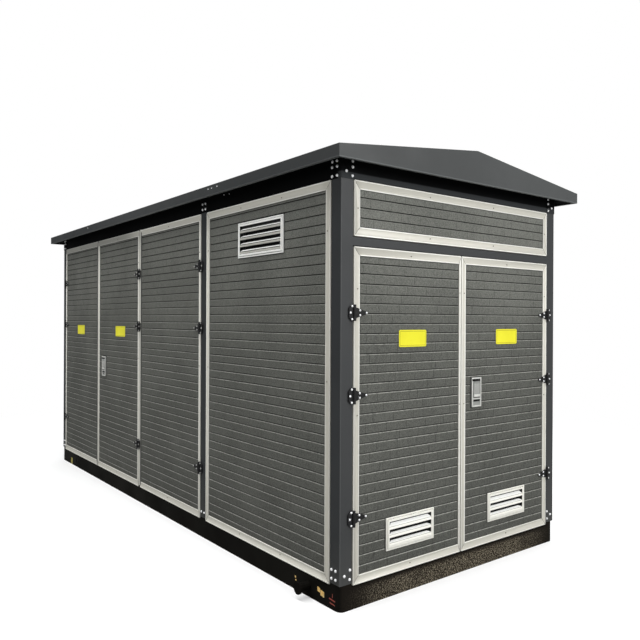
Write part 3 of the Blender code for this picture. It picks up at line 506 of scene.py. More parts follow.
def roofHemAndPaintedLight(tree, colour):  # a paler folded lower edge on the roof's fascia, and painted light and shade on the roof
    parts = objectPlace(tree)
    hem = times(tree, ramp(tree, parts["Z"], 2.4555, 2.4525), 0.5)
    colour = mixColour(tree, hem, colour, (0.13, 0.14, 0.14))
    # painted shade: the long sides are darker, less so in their middle
    sides = ramp(tree, sizeOf(tree, parts["Y"]), 1.108, 1.1125)
    middle = ramp(tree, sizeOf(tree, plus(tree, parts["X"], 0.1)), 1.7, 0.4)
    dark = mathNode(tree, "SUBTRACT", 0.5, times(tree, middle, 0.2))
    colour = mixColour(tree, times(tree, sides, dark), colour, (0.004, 0.005, 0.006))
    # painted light: lighter towards the rear, so also on the gable's rear half
    rearLight = times(tree, ramp(tree, parts["Y"], -0.9, 1.0), 0.18)
    return mixColour(tree, rearLight, colour, (0.16, 0.165, 0.165))


def paleRingEnds(tree, colour):  # on the ends the ring's foot catches light as painted light; the rest is black as painted shade
    foot = ramp(tree, objectPlace(tree)["Z"], 2.412, 2.403)
    foot = plus(tree, foot, 0.06, clamp=True)
    share = times(tree, endsOnly(tree, 2.44, 2.46), foot)
    return mixColour(tree, share, colour, (0.040, 0.043, 0.045))


# The end beam of the base is coated with coarse brown grit, the long sides are smooth
def gritAndRailShadow(tree, colour):
    parts = objectPlace(tree)
    across = sizeOf(tree, parts["Y"])
    # the grit thins towards the corner, and fades to black at the beam's top as a painted shadow
    # under the doors' bottom rails
    fade = times(tree, ramp(tree, across, 1.0, 0.52), ramp(tree, parts["Z"], 0.124, 0.085))
    clouds = ramp(tree, noiseAt(tree, 6.0, 3.0), 0.0, 0.6)
    grit = ramp(tree, noiseAt(tree, 124.0, 3.0, rough=0.7), 0.46, 0.64)
    grit = times(tree, grit, times(tree, clouds, fade))
    speckle = mixColour(tree, grit, (0.012, 0.010, 0.008), (0.32, 0.275, 0.20))
    colour = mixColour(tree, endsOnly(tree, 2.462, 2.472), colour, speckle)
    scratch = ramp(tree, noiseAt(tree, 30.0, 3.0, (1.0, 1.0, 0.25)), 0.70, 0.76)
    scratch = times(tree, times(tree, scratch, ramp(tree, across, 0.93, 0.985)), 0.5)
    return mixColour(tree, scratch, colour, (0.20, 0.20, 0.19))


looks = {
    "boardPaint": {
        "colour": (0.112, 0.114, 0.102), "shade": (0.093, 0.095, 0.085), "rough": (0.5, 0.62),
        "gloss": 0.14, "grain": 170.0, "bump": 0.9, "bumpDepth": 0.0018, "soil": 0.3,
        "streaks": 0.18, "soilColour": (0.075, 0.072, 0.06), "extra": brickSpeckleAndPaintedLight},
    "boardCore": {
        "colour": (0.055, 0.055, 0.053), "shade": (0.045, 0.045, 0.044), "rough": (0.45, 0.6),
        "grain": 420.0, "extra": jointShade},
    "postPaint": {
        "colour": (0.025, 0.027, 0.029), "shade": (0.020, 0.022, 0.024), "rough": (0.46, 0.56),
        "grain": 500.0, "soil": 0.3, "extra": litEndsAndFoldHighlight},
    "mullionAlloy": {
        "colour": (0.70, 0.69, 0.63), "shade": (0.60, 0.59, 0.54), "rough": (0.35, 0.5),
        "metal": 0.15, "bump": 0.08, "extra": blackHinges},
    "roofPaint": {
        "colour": (0.054, 0.057, 0.057), "shade": (0.042, 0.045, 0.045), "rough": (0.42, 0.54),
        "grain": 420.0, "bump": 0.2, "streaks": 0.2, "gloss": 0.35, "extra": roofHemAndPaintedLight},
    # painted shade: the ring's near-black colour stands for the shade under the eaves
    "ringPaintedShade": {
        "colour": (0.0016, 0.0018, 0.002), "shade": (0.001, 0.0011, 0.0012), "rough": (0.6, 0.75),
        "grain": 420.0, "gloss": 0.04, "extra": paleRingEnds},
    # painted shade: the deck's near-black colour stands for the shade under the roof
    "deckPaintedShade": {
        "colour": (0.010, 0.011, 0.013), "shade": (0.006, 0.007, 0.008), "rough": (0.6, 0.75),
        "grain": 300.0, "gloss": 0.15},
    "basePaint": {
        "colour": (0.009, 0.0085, 0.007), "shade": (0.005, 0.0046, 0.004), "rough": (0.36, 0.55),
        "gloss": 0.02, "grain": 150.0, "bump": 0.5, "bumpDepth": 0.001, "soil": 0.06, "reach": 0.14,
        "soilColour": (0.024, 0.021, 0.016), "extra": gritAndRailShadow},
    "floorSteel": {
        "colour": (0.16, 0.16, 0.155), "shade": (0.11, 0.11, 0.105),
        "grain": 200.0},
    "frameAlloy": {
        "colour": (0.96, 0.955, 0.90), "shade": (0.88, 0.875, 0.81), "rough": (0.32, 0.46),
        "metal": 0.05, "gloss": 0.5, "grain": 700.0, "bump": 0.06, "soil": 0.28, "reach": 0.5,
        "soilColour": (0.50, 0.46, 0.38), "streaks": 0.05, "extra": troughShadeAndGrime},
    "frameDim": {
        "colour": (0.10, 0.10, 0.092), "shade": (0.07, 0.07, 0.065), "rough": (0.45, 0.6),
        "bump": 0.08, "soil": 0.2},
    "ventAlloy": {
        "colour": (0.92, 0.905, 0.835), "shade": (0.86, 0.845, 0.77), "rough": (0.34, 0.48),
        "gloss": 0.4, "grain": 700.0, "bump": 0.06, "soil": 0.12},
    # a shaded and a lit copy of the louvre alloy, for painted shade and light on the blades
    "ventShadedAlloy": {
        "colour": (0.46, 0.45, 0.41), "shade": (0.38, 0.37, 0.33), "rough": (0.34, 0.48),
        "grain": 700.0, "bump": 0.06, "soil": 0.12},
    "ventLitAlloy": {
        "colour": (0.98, 0.98, 0.95), "shade": (0.93, 0.93, 0.89), "rough": (0.3, 0.42),
        "gloss": 0.5, "grain": 700.0, "bump": 0.05, "soil": 0.1, "streaks": 0.06},
    "lockCast": {
        "colour": (0.40, 0.405, 0.39), "shade": (0.32, 0.325, 0.31), "rough": (0.3, 0.42),
        "metal": 0.3, "gloss": 0.5, "grain": 900.0, "bump": 0.1, "cloud": 14.0},
    "lockBright": {
        "colour": (0.86, 0.86, 0.82), "shade": (0.74, 0.74, 0.70), "rough": (0.26, 0.4),
        "metal": 0.3, "gloss": 0.5, "grain": 900.0, "bump": 0.08, "cloud": 20.0},
    "labelPaint": {
        "colour": (0.98, 0.56, 0.12), "shade": (0.95, 0.74, 0.34),
        "cloud": 70.0, "streaks": 0.1, "soilColour": (0.10, 0.06, 0.03)},
    "tapeRed": {
        "colour": (0.46, 0.06, 0.04), "shade": (0.30, 0.10, 0.07),
        "cloud": 60.0, "soilColour": (0.03, 0.02, 0.018)},
    "tapeYellow": {
        "colour": (0.50, 0.42, 0.06), "shade": (0.32, 0.27, 0.06),
        "cloud": 50.0, "soilColour": (0.30, 0.27, 0.16)},
    "boltZinc": {
        "colour": (1.0, 1.0, 1.0), "shade": (0.92, 0.93, 0.94), "rough": (0.2, 0.32),
        "gloss": 0.8, "soil": 0.0, "streaks": 0.0, "grain": 900.0, "cloud": 40.0},
    "boltGrey": {
        "colour": (0.42, 0.42, 0.41), "shade": (0.34, 0.34, 0.33), "rough": (0.3, 0.45),
        "gloss": 0.5, "soil": 0.0, "streaks": 0.0, "grain": 900.0, "cloud": 40.0},
    "screwDark": {
        "colour": (0.26, 0.24, 0.19), "shade": (0.16, 0.15, 0.12), "rough": (0.3, 0.5),
        "metal": 0.3, "grain": 900.0, "cloud": 60.0},
    "plateYellow": {
        "colour": (0.87, 0.82, 0.045), "shade": (0.83, 0.77, 0.04), "rough": (0.3, 0.42),
        "gloss": 0.12, "grain": 500.0, "bump": 0.08, "cloud": 8.0, "streaks": 0.05},
    "plateLine": {
        "colour": (0.20, 0.17, 0.02), "shade": (0.14, 0.12, 0.02), "rough": (0.35, 0.5),
        "grain": 500.0, "cloud": 30.0},
    # a painted shadow under a lever's lip
    "shadowGrey": {
        "colour": (0.10, 0.098, 0.088), "shade": (0.05, 0.05, 0.045), "rough": (0.6, 0.8),
        "cloud": 30.0},
    # black for the insect screen behind a louvre, and painted shade in seams, creases, recesses,
    # slots, keyholes and holes
    "blackScreenAndShade": {
        "colour": (0.006, 0.006, 0.006), "shade": (0.004, 0.004, 0.004), "rough": (0.6, 0.8)},
}

finishes = {name: makeFinish(name, look) for name, look in looks.items()}

# A node takes the first finish whose words its name holds
nodeFinishes = {
    "base_frame": "basePaint", "_frame": "frameAlloy", "_board": "boardCore",
    "_louvre": "ventAlloy", "_lock": "lockCast", "_lever": "lockCast",
    "corner_post": "postPaint", "mid_post": "postPaint", "header_rail": "postPaint",
    "mullion": "mullionAlloy", "roof_deck": "deckPaintedShade", "roof_slope": "roofPaint",
    "gable": "roofPaint", "top_ring": "ringPaintedShade", "floor_plate": "floorSteel",
}
for nodeName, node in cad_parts.items():
    node.data.materials.clear()
    coat(node, next(finish for part, finish in nodeFinishes.items() if part in nodeName))
print("finishes placed:", len(finishes))


# Brick-pattern sheets on the boards
bricks = {
    "length": 0.1615, "course": 0.0568, "lastCourse": 0.0517, "relief": 0.0034,
    "topSlope": 0.0052, "foot": 0.0048, "edge": 0.0008, "round": 0.0006,
    "phases": (0.160, 0.055, 0.136, 0.090, 0.012, 0.069, 0.085),
    "panelShifts": (0.0, 0.006, -0.012, 0.018, -0.006, 0.010),
    "panels": 6, "panelsBelow": 4, "perCourse": 15, "boardFace": 0.0023,
    # joint round the bricks, reach of a louvre over them, and the least width of a strip
    "gap": 0.0030, "underVent": 0.012, "least": 0.002,
    # height of a seam between sheets, and the pitch of the sheets, on each wall
    "front": (1.738, 0.3935), "rear": (1.738, 0.3935),
    "right": (1.740, 0.3912), "left": (1.740, 0.3912), "transom": (2.106, 0.3925),
}


def makeBrick():
    length, tall, out = bricks["length"], bricks["course"], bricks["relief"]
    edge, slope, foot = bricks["edge"], bricks["topSlope"], bricks["foot"]
    brick = startCube((0, -out, 0), (length, 0.0002, tall))
    editFacing(brick)
    middle = (length / 2, -out, tall / 2)
    bpy.ops.transform.resize(value=((length - 2 * edge) / length, 1, (tall - foot - slope) / tall),
                             center_override=middle)
    bpy.ops.transform.translate(value=(0, 0, (foot - slope) / 2))
    inset(bricks["round"], bricks["round"] * 0.4)
    editOff()
    # the attribute steers painted shade in the grooves and a painted highlight on the ledges
    shade = brick.data.attributes.new("relief", "FLOAT", "FACE")
    for index, face in enumerate(brick.data.polygons):
        value = 1.0
        if abs(face.normal.x) > 0.9:
            value = 0.57
        elif face.normal.z < -0.4 and face.normal.y < -0.1:
            value = 0.0
        elif face.normal.z > 0.4 and face.normal.y < -0.1:
            value = 2.0
        shade.data[index].value = value
    return brick


def makeBrickSheet():
    brick = makeBrick()
    length, course, last = bricks["length"], bricks["course"], len(bricks["phases"]) - 1
    repeat(brick, bricks["perCourse"], (length, 0, 0))
    period = course * last + bricks["lastCourse"]
    half = math.floor(bricks["perCourse"] / 2) * length
    courses = []
    for panel in range(bricks["panels"]):
        for index, phase in enumerate(bricks["phases"]):
            stretch = bricks["lastCourse"] / course if index == last else 1
            across = (phase + bricks["panelShifts"][panel]) % length
            low = (panel - bricks["panelsBelow"]) * period + index * course
            courses.append(copyOf(brick, (across - half, 0, low), (1, 1, stretch)))
    throwAway(brick)
    return joinAll(courses, "brickSheet"), period


brickSheet, sheetPeriod = makeBrickSheet()
print("brick sheet:", len(brickSheet.data.polygons), "faces")


# The opening is (low x, high x, low z, high z) in the wall's own axes
def makeCladding(label, wall, body, opening, vent, slide):
    seam, pitch = bricks["transom" if "transom" in label else wall]
    gap = bricks["gap"]
    x0, x1, z0, z1 = opening
    x0, x1, z0, z1 = x0 + gap, x1 - gap, z0 + gap, z1 - gap
    spans = [(x0, x1, z0, z1)]
    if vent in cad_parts:
        h0, h1, k0, k1 = wallBox(vent, wall, bricks["underVent"])
        spans = [(x0, h0, z0, z1), (h1, x1, z0, z1), (h0, h1, z0, k0), (h0, h1, k1, z1)]
    made = []
    for low, high, foot, top in spans:
        if min(high - low, top - foot) < bricks["least"]:
            continue
        part = copyOf(brickSheet, (slide, bricks["boardFace"], seam), (1, 1, pitch / sheetPeriod))
        cutOff(part, (((low, 0, 0), (-1, 0, 0)), ((high, 0, 0), (1, 0, 0)),
                      ((0, 0, foot), (0, 0, -1)), ((0, 0, top), (0, 0, 1))))
        made.append(part)
    piece = joinAll(made, "cladding_" + label)
    finishPiece(piece, wall, body, "boardPaint", smooth=0)


frameBars = {"stile": 0.044, "meeting": 0.040, "narrow": 0.026, "free": 0.018, "rail": 0.052,
             "rebate": 0.0117}


def frameOf(label, body):  # a door's frame is named for the door, a panel's for the panel
    return (label if body == "enclosure" else body) + "_frame"


def openingOf(node, wall, left, right):
    x0, x1, z0, z1 = wallBox(node, wall)
    rail = frameBars["rail"]
    return x0 + frameBars[left], x1 - frameBars[right], z0 + rail, z1 - rail


frameCuts = {"seam": 0.0009, "spare": 0.0002, "middle": 0.001, "soften": 0.0004}


# Parts a copy of a frame node into mitred bars, with a fine line at each corner.
# The side doors' free stiles are dull, because the photo shows no bright one there
def makeBars(node, wall, body, left="stile", right="stile", middles=()):
    x0, x1, z0, z1 = wallBox(node, wall)
    a, b, rail = frameBars[left], frameBars[right], frameBars["rail"]
    seam, spare = frameCuts["seam"], frameCuts["spare"]
    under = ((0, 0, z0 + rail + spare), (0, 0, 1))
    over = ((0, 0, z1 - rail - spare), (0, 0, -1))
    sets = [
        (under, ((x0, 0, z0), (-rail, 0, a)), ((x1, 0, z0), (rail, 0, b))),
        (over, ((x0, 0, z1), (-rail, 0, -a)), ((x1, 0, z1), (rail, 0, -b))),
        (((x0 + a, 0, 0), (1, 0, 0)), ((x0, 0, z0), (rail, 0, -a)), ((x0, 0, z1), (rail, 0, a))),
        (((x1 - b, 0, 0), (-1, 0, 0)), ((x1, 0, z0), (-rail, 0, -b)),
         ((x1, 0, z1), (-rail, 0, b))),
    ]
    for x in middles:
        half = frameBars["stile"] + frameCuts["middle"]
        sets.append((((x - half, 0, 0), (-1, 0, 0)), ((x + half, 0, 0), (1, 0, 0)),
                     ((0, 0, z0 + rail + 2 * spare), (0, 0, -1)),
                     ((0, 0, z1 - rail - 2 * spare), (0, 0, 1))))
    whole = nodeCopy(node, wall)
    bars = []
    for index, cuts in enumerate(sets):
        bar = copyOf(whole)
        cutOff(bar, cuts, seam)
        dim = {2: left, 3: right}.get(index) == "free" and wall == "front"
        coat(bar, "frameDim" if dim else "frameAlloy", "blackScreenAndShade")
        for face in bar.data.polygons:  # the mitred ends are painted black as shade in the seams
            if min(abs(face.normal.x), abs(face.normal.z)) > 0.2 and abs(face.normal.y) < 0.2:
                face.material_index = 1
        bars.append(bar)
    throwAway(whole)
    piece = joinAll(bars, node.replace("frame", "bars"))
    soften(piece, frameCuts["soften"], segments=1, angle=35)
    finishPiece(piece, wall, body)
    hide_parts(node)


boards = [
    # piece, wall, body, left bar, right bar, slide of the bricks along the wall
    ("end_left", "right", "end_door_left", "stile", "free", 0.0),
    ("end_right", "right", "end_door_right", "meeting", "stile", 0.004),
    ("transom_right", "right", "enclosure", "stile", "stile", 0.05),
    ("door_1", "front", "side_door_1", "narrow", "free", -1.4715),
    ("door_2", "front", "side_door_2", "meeting", "narrow", -0.64),
    ("door_3", "front", "side_door_3", "free", "narrow", 0.03),
    ("front_panel", "front", "enclosure", "stile", "stile", 1.45),
    ("rear_panel", "rear", "enclosure", "stile", "stile", -1.52),
    ("transom_left", "left", "enclosure", "stile", "stile", -0.03),
]
bays = [("rear_bays", "rear", 3), ("left_end", "left", 2)]  # frames that hold several boards
for label, wall, body, left, right, slide in boards:
    node = frameOf(label, body)
    makeCladding(label, wall, body, openingOf(node, wall, left, right),
                 node.replace("frame", "louvre"), slide)
    makeBars(node, wall, body, left, right)
for label, wall, count in bays:
    spans = []
    for index in range(1, count + 1):
        opening = wallBox(f"{label}_board_{index}", wall, frameBars["rebate"])
        makeCladding(f"{label}_{index}", wall, "enclosure", opening, f"{label}_louvre_{index}",
                     (opening[0] + opening[1]) / 2)
        spans.append(opening[:2])
    spans.sort()
    middles = [(spans[i][1] + spans[i + 1][0]) / 2 for i in range(count - 1)]
    makeBars(label + "_frame", wall, "enclosure", middles=middles)
throwAway(brickSheet)
print("claddings and frames placed")


# Bolts and screws
fixings = {
    "boltRadius": 0.0066, "boltHeight": 0.0048, "washer": 0.0084,
    "hingeBolt": 0.0050, "hingeBoltHeight": 0.0035, "hingeWasher": 0.00625,
    "screwRadius": 0.0038, "screwHeight": 0.0014,
    # screws on a frame: where their feet stand, how far from a rail's edge and a bar's, their
    # greatest spacing along a rail, and their heights as shares of the frame's
    "screwFace": -0.0018, "railInset": 0.030, "barShare": 0.62, "spacing": 0.9,
    "heights": (0.5, 0.875),
}


def makeBolt(radius, tall, washer):  # a washer with a domed head, pointing to -Y
    bolt = startDisc(washer, 0.002, (0, -0.001, 0))
    editFacing(bolt)
    inset(washer - radius)
    pushOut((0, -tall * 0.6, 0))
    inset(radius * 0.28, tall * 0.28)
    inset(radius * 0.3, tall * 0.12)
    editOff()
    return bolt


def makeScrew(radius, tall):  # a flat head with a sunk middle
    screw = startDisc(radius, 0.001, (0, -0.0005, 0), 10)
    editFacing(screw)
    pushOut((0, -tall, 0))
    inset(radius * 0.35)
    inset(radius * 0.15, -tall * 0.7)
    editOff()
    return screw


bolt = makeBolt(fixings["boltRadius"], fixings["boltHeight"], fixings["washer"])
hingeBolt = makeBolt(fixings["hingeBolt"], fixings["hingeBoltHeight"], fixings["hingeWasher"])
screw = makeScrew(fixings["screwRadius"], fixings["screwHeight"])


def scatter(source, spots, name, wall, body, finish):
    piece = joinAll([copyOf(source, spot) for spot in spots], name)
    finishPiece(piece, wall, body, finish)


# Spots as (distance from the wall's end, height), on the gussets and on the post feet
cornerBolts = {
    "long": [(0.076, 2.387), (0.032, 2.387), (0.076, 2.437), (0.032, 2.437), (0.074, 2.468),
             (0.034, 2.468)],
    "short": [(0.032, 2.411), (0.077, 2.438), (0.075, 2.389), (0.077, 2.470)],
    "longFoot": [(0.071, 0.172), (0.035, 0.172), (0.071, 0.221), (0.035, 0.221)],
    "shortFoot": [(0.031, 0.196), (0.071, 0.223), (0.069, 0.171)],
    "gussetFace": -0.003, "midPost": 0.895, "midAcross": 0.022, "midHeights": (2.400, 2.440, 0.185),
}
for wall in ("front", "rear", "right", "left"):
    kind, half = ("long", halfLong) if wall in ("front", "rear") else ("short", halfWide)
    spots = []
    for side in (-1, 1):
        for row, face in ((kind, cornerBolts["gussetFace"]), (kind + "Foot", 0)):
            spots += [(side * (half - a), face, z) for a, z in cornerBolts[row]]
    if kind == "long":
        middle = cornerBolts["midPost"] * (1 if wall == "front" else -1)
        for across in (-cornerBolts["midAcross"], cornerBolts["midAcross"]):
            spots += [(middle + across, 0, z) for z in cornerBolts["midHeights"]]
    scatter(bolt, spots, f"bolts_{wall}", wall, "enclosure", "boltZinc")
fasciaSpots = [(x, -0.1135, 2.493) for x in (1.171, 1.217, 1.294, -1.324)]
fasciaSpots += [(1.190, -0.0005, 2.465), (1.262, -0.0005, 2.461)]
scatter(screw, fasciaSpots, "bolts_fascia", "front", "enclosure", "boltZinc")

hinges = {
    "strapFace": -0.0095, "plateFace": -0.0105,
    "end": (0.503, 1.179, 1.637), "side": (0.503, 1.532, 1.990),
    "strapSpots": [(0.042, 0.0130), (0.042, -0.0130), (0.090, 0)],
    "plateSpots": [(0.0165, 0.036), (0.0165, -0.036), (0.0275, 0)],
    "narrowSpots": [(0.011, 0.036), (0.011, -0.036), (0.0185, 0)],
}
hingeRows = [
    # body, wall, pin, side of the door, heights, spots on the post
    ("end_door_left", "right", -0.9125, 1, "end", "plateSpots"),
    ("end_door_right", "right", 0.9125, -1, "end", "plateSpots"),
    ("side_door_1", "front", -2.3875, 1, "side", "plateSpots"),
    ("side_door_2", "front", -0.2985, -1, "side", "narrowSpots"),
    ("side_door_3", "front", 0.8525, -1, "side", "plateSpots"),
]
for body, wall, pin, side, heights, plate in hingeRows:
    onStrap, onPost = [], []
    for z in hinges[heights]:
        onStrap += [(pin + side * a, hinges["strapFace"], z + b) for a, b in hinges["strapSpots"]]
        onPost += [(pin - side * a, hinges["plateFace"], z + b) for a, b in hinges[plate]]
    zinc = "boltZinc" if wall == "right" else "boltGrey"  # duller on the side doors
    scatter(hingeBolt, onStrap, f"strap_bolts_{body}", wall, body, zinc)
    scatter(hingeBolt, onPost, f"hinge_bolts_{body}", wall, "enclosure", zinc)


# Screws along the bars of each frame, at even spacing
def frameScrews(node, wall, body, left="stile", right="stile"):
    x0, x1, z0, z1 = wallBox(node, wall)
    face, edge, share = fixings["screwFace"], fixings["railInset"], fixings["barShare"]
    spots = []
    columns = max(1, round((x1 - x0) / fixings["spacing"]))
    for index in range(columns):
        x = x0 + (x1 - x0) * (index + 1) / (columns + 1)
        spots += [(x, face, z0 + edge), (x, face, z1 - edge)]
    for height in fixings["heights"][:2 if z1 - z0 > 1 else 1]:  # a transom has only the first
        z = z0 + (z1 - z0) * height
        spots += [(x0 + frameBars[left] * share, face, z), (x1 - frameBars[right] * share, face, z)]
    scatter(screw, spots, "screws_" + node.replace("_frame", ""), wall, body, "screwDark")


for label, wall, body, left, right, slide in boards:
    frameScrews(frameOf(label, body), wall, body, left, right)
for label, wall, count in bays:
    frameScrews(label + "_frame", wall, "enclosure")
for spare in (bolt, hingeBolt, screw):
    throwAway(spare)
print("bolts and screws placed")


# Louvres
louvre = {
    "border": 0.024, "proud": 0.014, "flange": 0.0085, "groove": 0.0034, "step": 0.003,
    "soften": 0.0012, "liner": 0.0010, "shadowRim": 0.0045, "boardFace": 0.0020, "screen": 0.030,
    # the blades: height of the lip, its lean, the crease's depth, taper at the back, thickness
    "lip": 0.0135, "lean": 0.002, "fold": 0.0016, "taper": 0.026, "sheet": 0.0016,
}
# Lips, creases and slopes take the alloy and its shaded and lit copies as painted light and shade;
# the high louvres' creases are painted black
# The low louvres' top blade reaches up to the border, the high ones' leaves a gap
ventKinds = {
    "low": {"open": 0.0215, "crease": 0.0026, "hood": 0.012, "border": "ventAlloy",
            "depth": 0.012, "coats": ("ventAlloy", "ventShadedAlloy", "ventLitAlloy")},
    "high": {"open": 0.0195, "crease": 0.0045, "hood": 0.0, "border": "ventLitAlloy",
             "depth": 0.008, "coats": ("ventShadedAlloy", "blackScreenAndShade", "ventLitAlloy")},
}


def makeBlade(x0, x1, foot, front, rise, kind):  # a lip, a crease and a slope running back
    lip, crease, width = louvre["lip"], kind["crease"], x1 - x0
    bpy.ops.mesh.primitive_plane_add(size=1, location=((x0 + x1) / 2, front, foot + lip / 2),
                                     rotation=(math.pi / 2, 0, 0))
    blade = bpy.context.active_object
    blade.scale = (width, lip, 1)
    settle(blade)
    editOn(blade, "EDGE")
    chooseEdges(blade, lambda a, b: min(a.z, b.z) > foot + lip * 0.9)
    bpy.ops.transform.translate(value=(0, louvre["lean"], 0))
    pushOut((0, louvre["fold"], crease))
    pushOut((0, kind["depth"], rise))
    bpy.ops.transform.resize(value=((width - 2 * louvre["taper"]) / width, 1, 1),
                             center_override=((x0 + x1) / 2, 0, 0))
    editOff()
    applyModifier(blade, "SOLIDIFY", thickness=louvre["sheet"], offset=0)
    coat(blade, *kind["coats"])
    for face in blade.data.polygons:
        height = face.center.z - foot - lip
        face.material_index = 0 if height < 0 else 1 if height < crease else 2
    return blade


def makeShadowRim(x0, x1, z0, z1):  # a painted shadow: a black line round a fitting
    wide = louvre["shadowRim"]
    shadowRim = makeRim(x0 - wide, x1 + wide, z0 - wide, z1 + wide, wide * 2, -0.0022, 0.001)
    coat(shadowRim, "blackScreenAndShade")
    return shadowRim


def makeVent(node, wall, body, blades, kind):
    kind = ventKinds[kind]
    x0, x1, z0, z1 = wallBox(node, wall)
    border, flange, back = louvre["border"], louvre["flange"], louvre["boardFace"]
    face, edge = back - louvre["proud"], flange + louvre["groove"]
    outer = makeRim(x0, x1, z0, z1, flange, face + louvre["step"], back)
    inner = makeRim(*wallBox(node, wall, edge), border - edge, face, back)
    for rim in (outer, inner):
        soften(rim, louvre["soften"])
        coat(rim, kind["border"])
    bed = makeRim(*wallBox(node, wall, 0.001), border - 0.002, back - 0.002, back)
    pitch = (z1 - z0 - 2 * border) / blades
    foot = z0 + border + 0.0015
    # the blades' ends and the lowest one's foot lie just inside the border
    left, right, front = x0 + border - 0.001, x1 - border + 0.001, face + 0.0012
    rise = pitch - louvre["lip"] - kind["open"] - kind["crease"]
    blade = makeBlade(left, right, foot, front, rise, kind)
    repeat(blade, blades - 1, (0, 0, pitch))
    highest = makeBlade(left, right, foot + pitch * (blades - 1), front, rise + kind["hood"], kind)
    left, right, low, high = wallBox(node, wall, border / 2)
    depth = back + louvre["screen"]
    screen = startCube((left, depth, low), (right, depth + 0.002, high))
    editFacing(screen)
    inset(0.006, -0.0005)
    editOff()
    liner = makeRim(*wallBox(node, wall, border), louvre["liner"], face + 0.004, back)
    # the screen, liner and bed are black: painted shade behind the blades, the screen also an
    # insect screen
    for part in (screen, liner, bed):
        coat(part, "blackScreenAndShade")
    shadowRim = makeShadowRim(x0, x1, z0, z1)
    piece = joinAll([screen, bed, liner, shadowRim, blade, highest, inner, outer],
                    node.replace("louvre", "vent"))
    finishPiece(piece, wall, body)
    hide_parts(node)


makeVent("end_door_left_louvre", "right", "end_door_left", 3, "low")
makeVent("end_door_right_louvre", "right", "end_door_right", 3, "low")
makeVent("front_panel_louvre", "front", "enclosure", 4, "high")
makeVent("rear_panel_louvre", "rear", "enclosure", 4, "high")
makeVent("left_end_louvre_1", "left", "enclosure", 3, "low")
makeVent("left_end_louvre_2", "left", "enclosure", 3, "low")
print("louvres placed")


# Blank yellow plates
plates = {"thick": 0.0016, "corner": 0.0105, "line": 0.0018, "margin": 0.0075, "sunk": 0.0003}


def makePlate(name, wall, body, x0, x1, z0, z1):
    back = bricks["boardFace"] - bricks["relief"] - bricks["round"] * 0.4
    plate = startCube((x0, back - plates["thick"], z0), (x1, back, z1), name)
    editOn(plate, "EDGE")
    chooseEdges(plate, lambda a, b: abs(a.y - b.y) > plates["thick"] / 2)
    bpy.ops.mesh.bevel(offset=plates["corner"], segments=3)
    editOff()
    editFacing(plate)
    inset(plates["margin"])
    inset(plates["line"], -plates["sunk"])
    bm = bmesh.from_edit_mesh(plate.data)
    inner = [f for f in bm.faces if f.select]
    ring = {f for face in inner for e in face.edges for f in e.link_faces} - set(inner)
    for face in ring:
        face.material_index = 1
    bmesh.update_edit_mesh(plate.data)
    editOff()
    coat(plate, "plateYellow", "plateLine")
    finishPiece(plate, wall, body)


makePlate("plate_end_left", "right", "end_door_left", -0.562, -0.334, 1.440, 1.540)
makePlate("plate_end_right", "right", "end_door_right", 0.336, 0.561, 1.440, 1.540)
makePlate("plate_door_1", "front", "side_door_1", -1.972, -1.751, 1.434, 1.530)
makePlate("plate_door_2", "front", "side_door_2", -0.862, -0.627, 1.434, 1.530)
print("plates placed")


# Trim on the two locks, and ribs on their levers
lockTrim = {
    "rim": 0.009, "proud": 0.0014, "soften": 0.0005, "slotWidth": 0.062, "seat": 0.001,
    "ribs": 5, "ribWidth": 0.0022, "ribProud": 0.0007, "ribsInset": 0.004,
    "keyRadius": 0.0065, "keyRise": 0.022,
    # heights below the lock's top edge
    "recess": (0.009, 0.0235), "band": (0.1325, 0.141), "slot": (0.142, 0.155),
    "lip": (0.109, 0.125), "shadow": (0.1255, 0.1315),
}


def lockBar(part, x0, x1, top, front, back, finish):
    high, low = lockTrim[part]
    bar = startCube((x0, front, top - low), (x1, back, top - high))
    soften(bar, lockTrim["soften"])
    coat(bar, finish)
    return bar


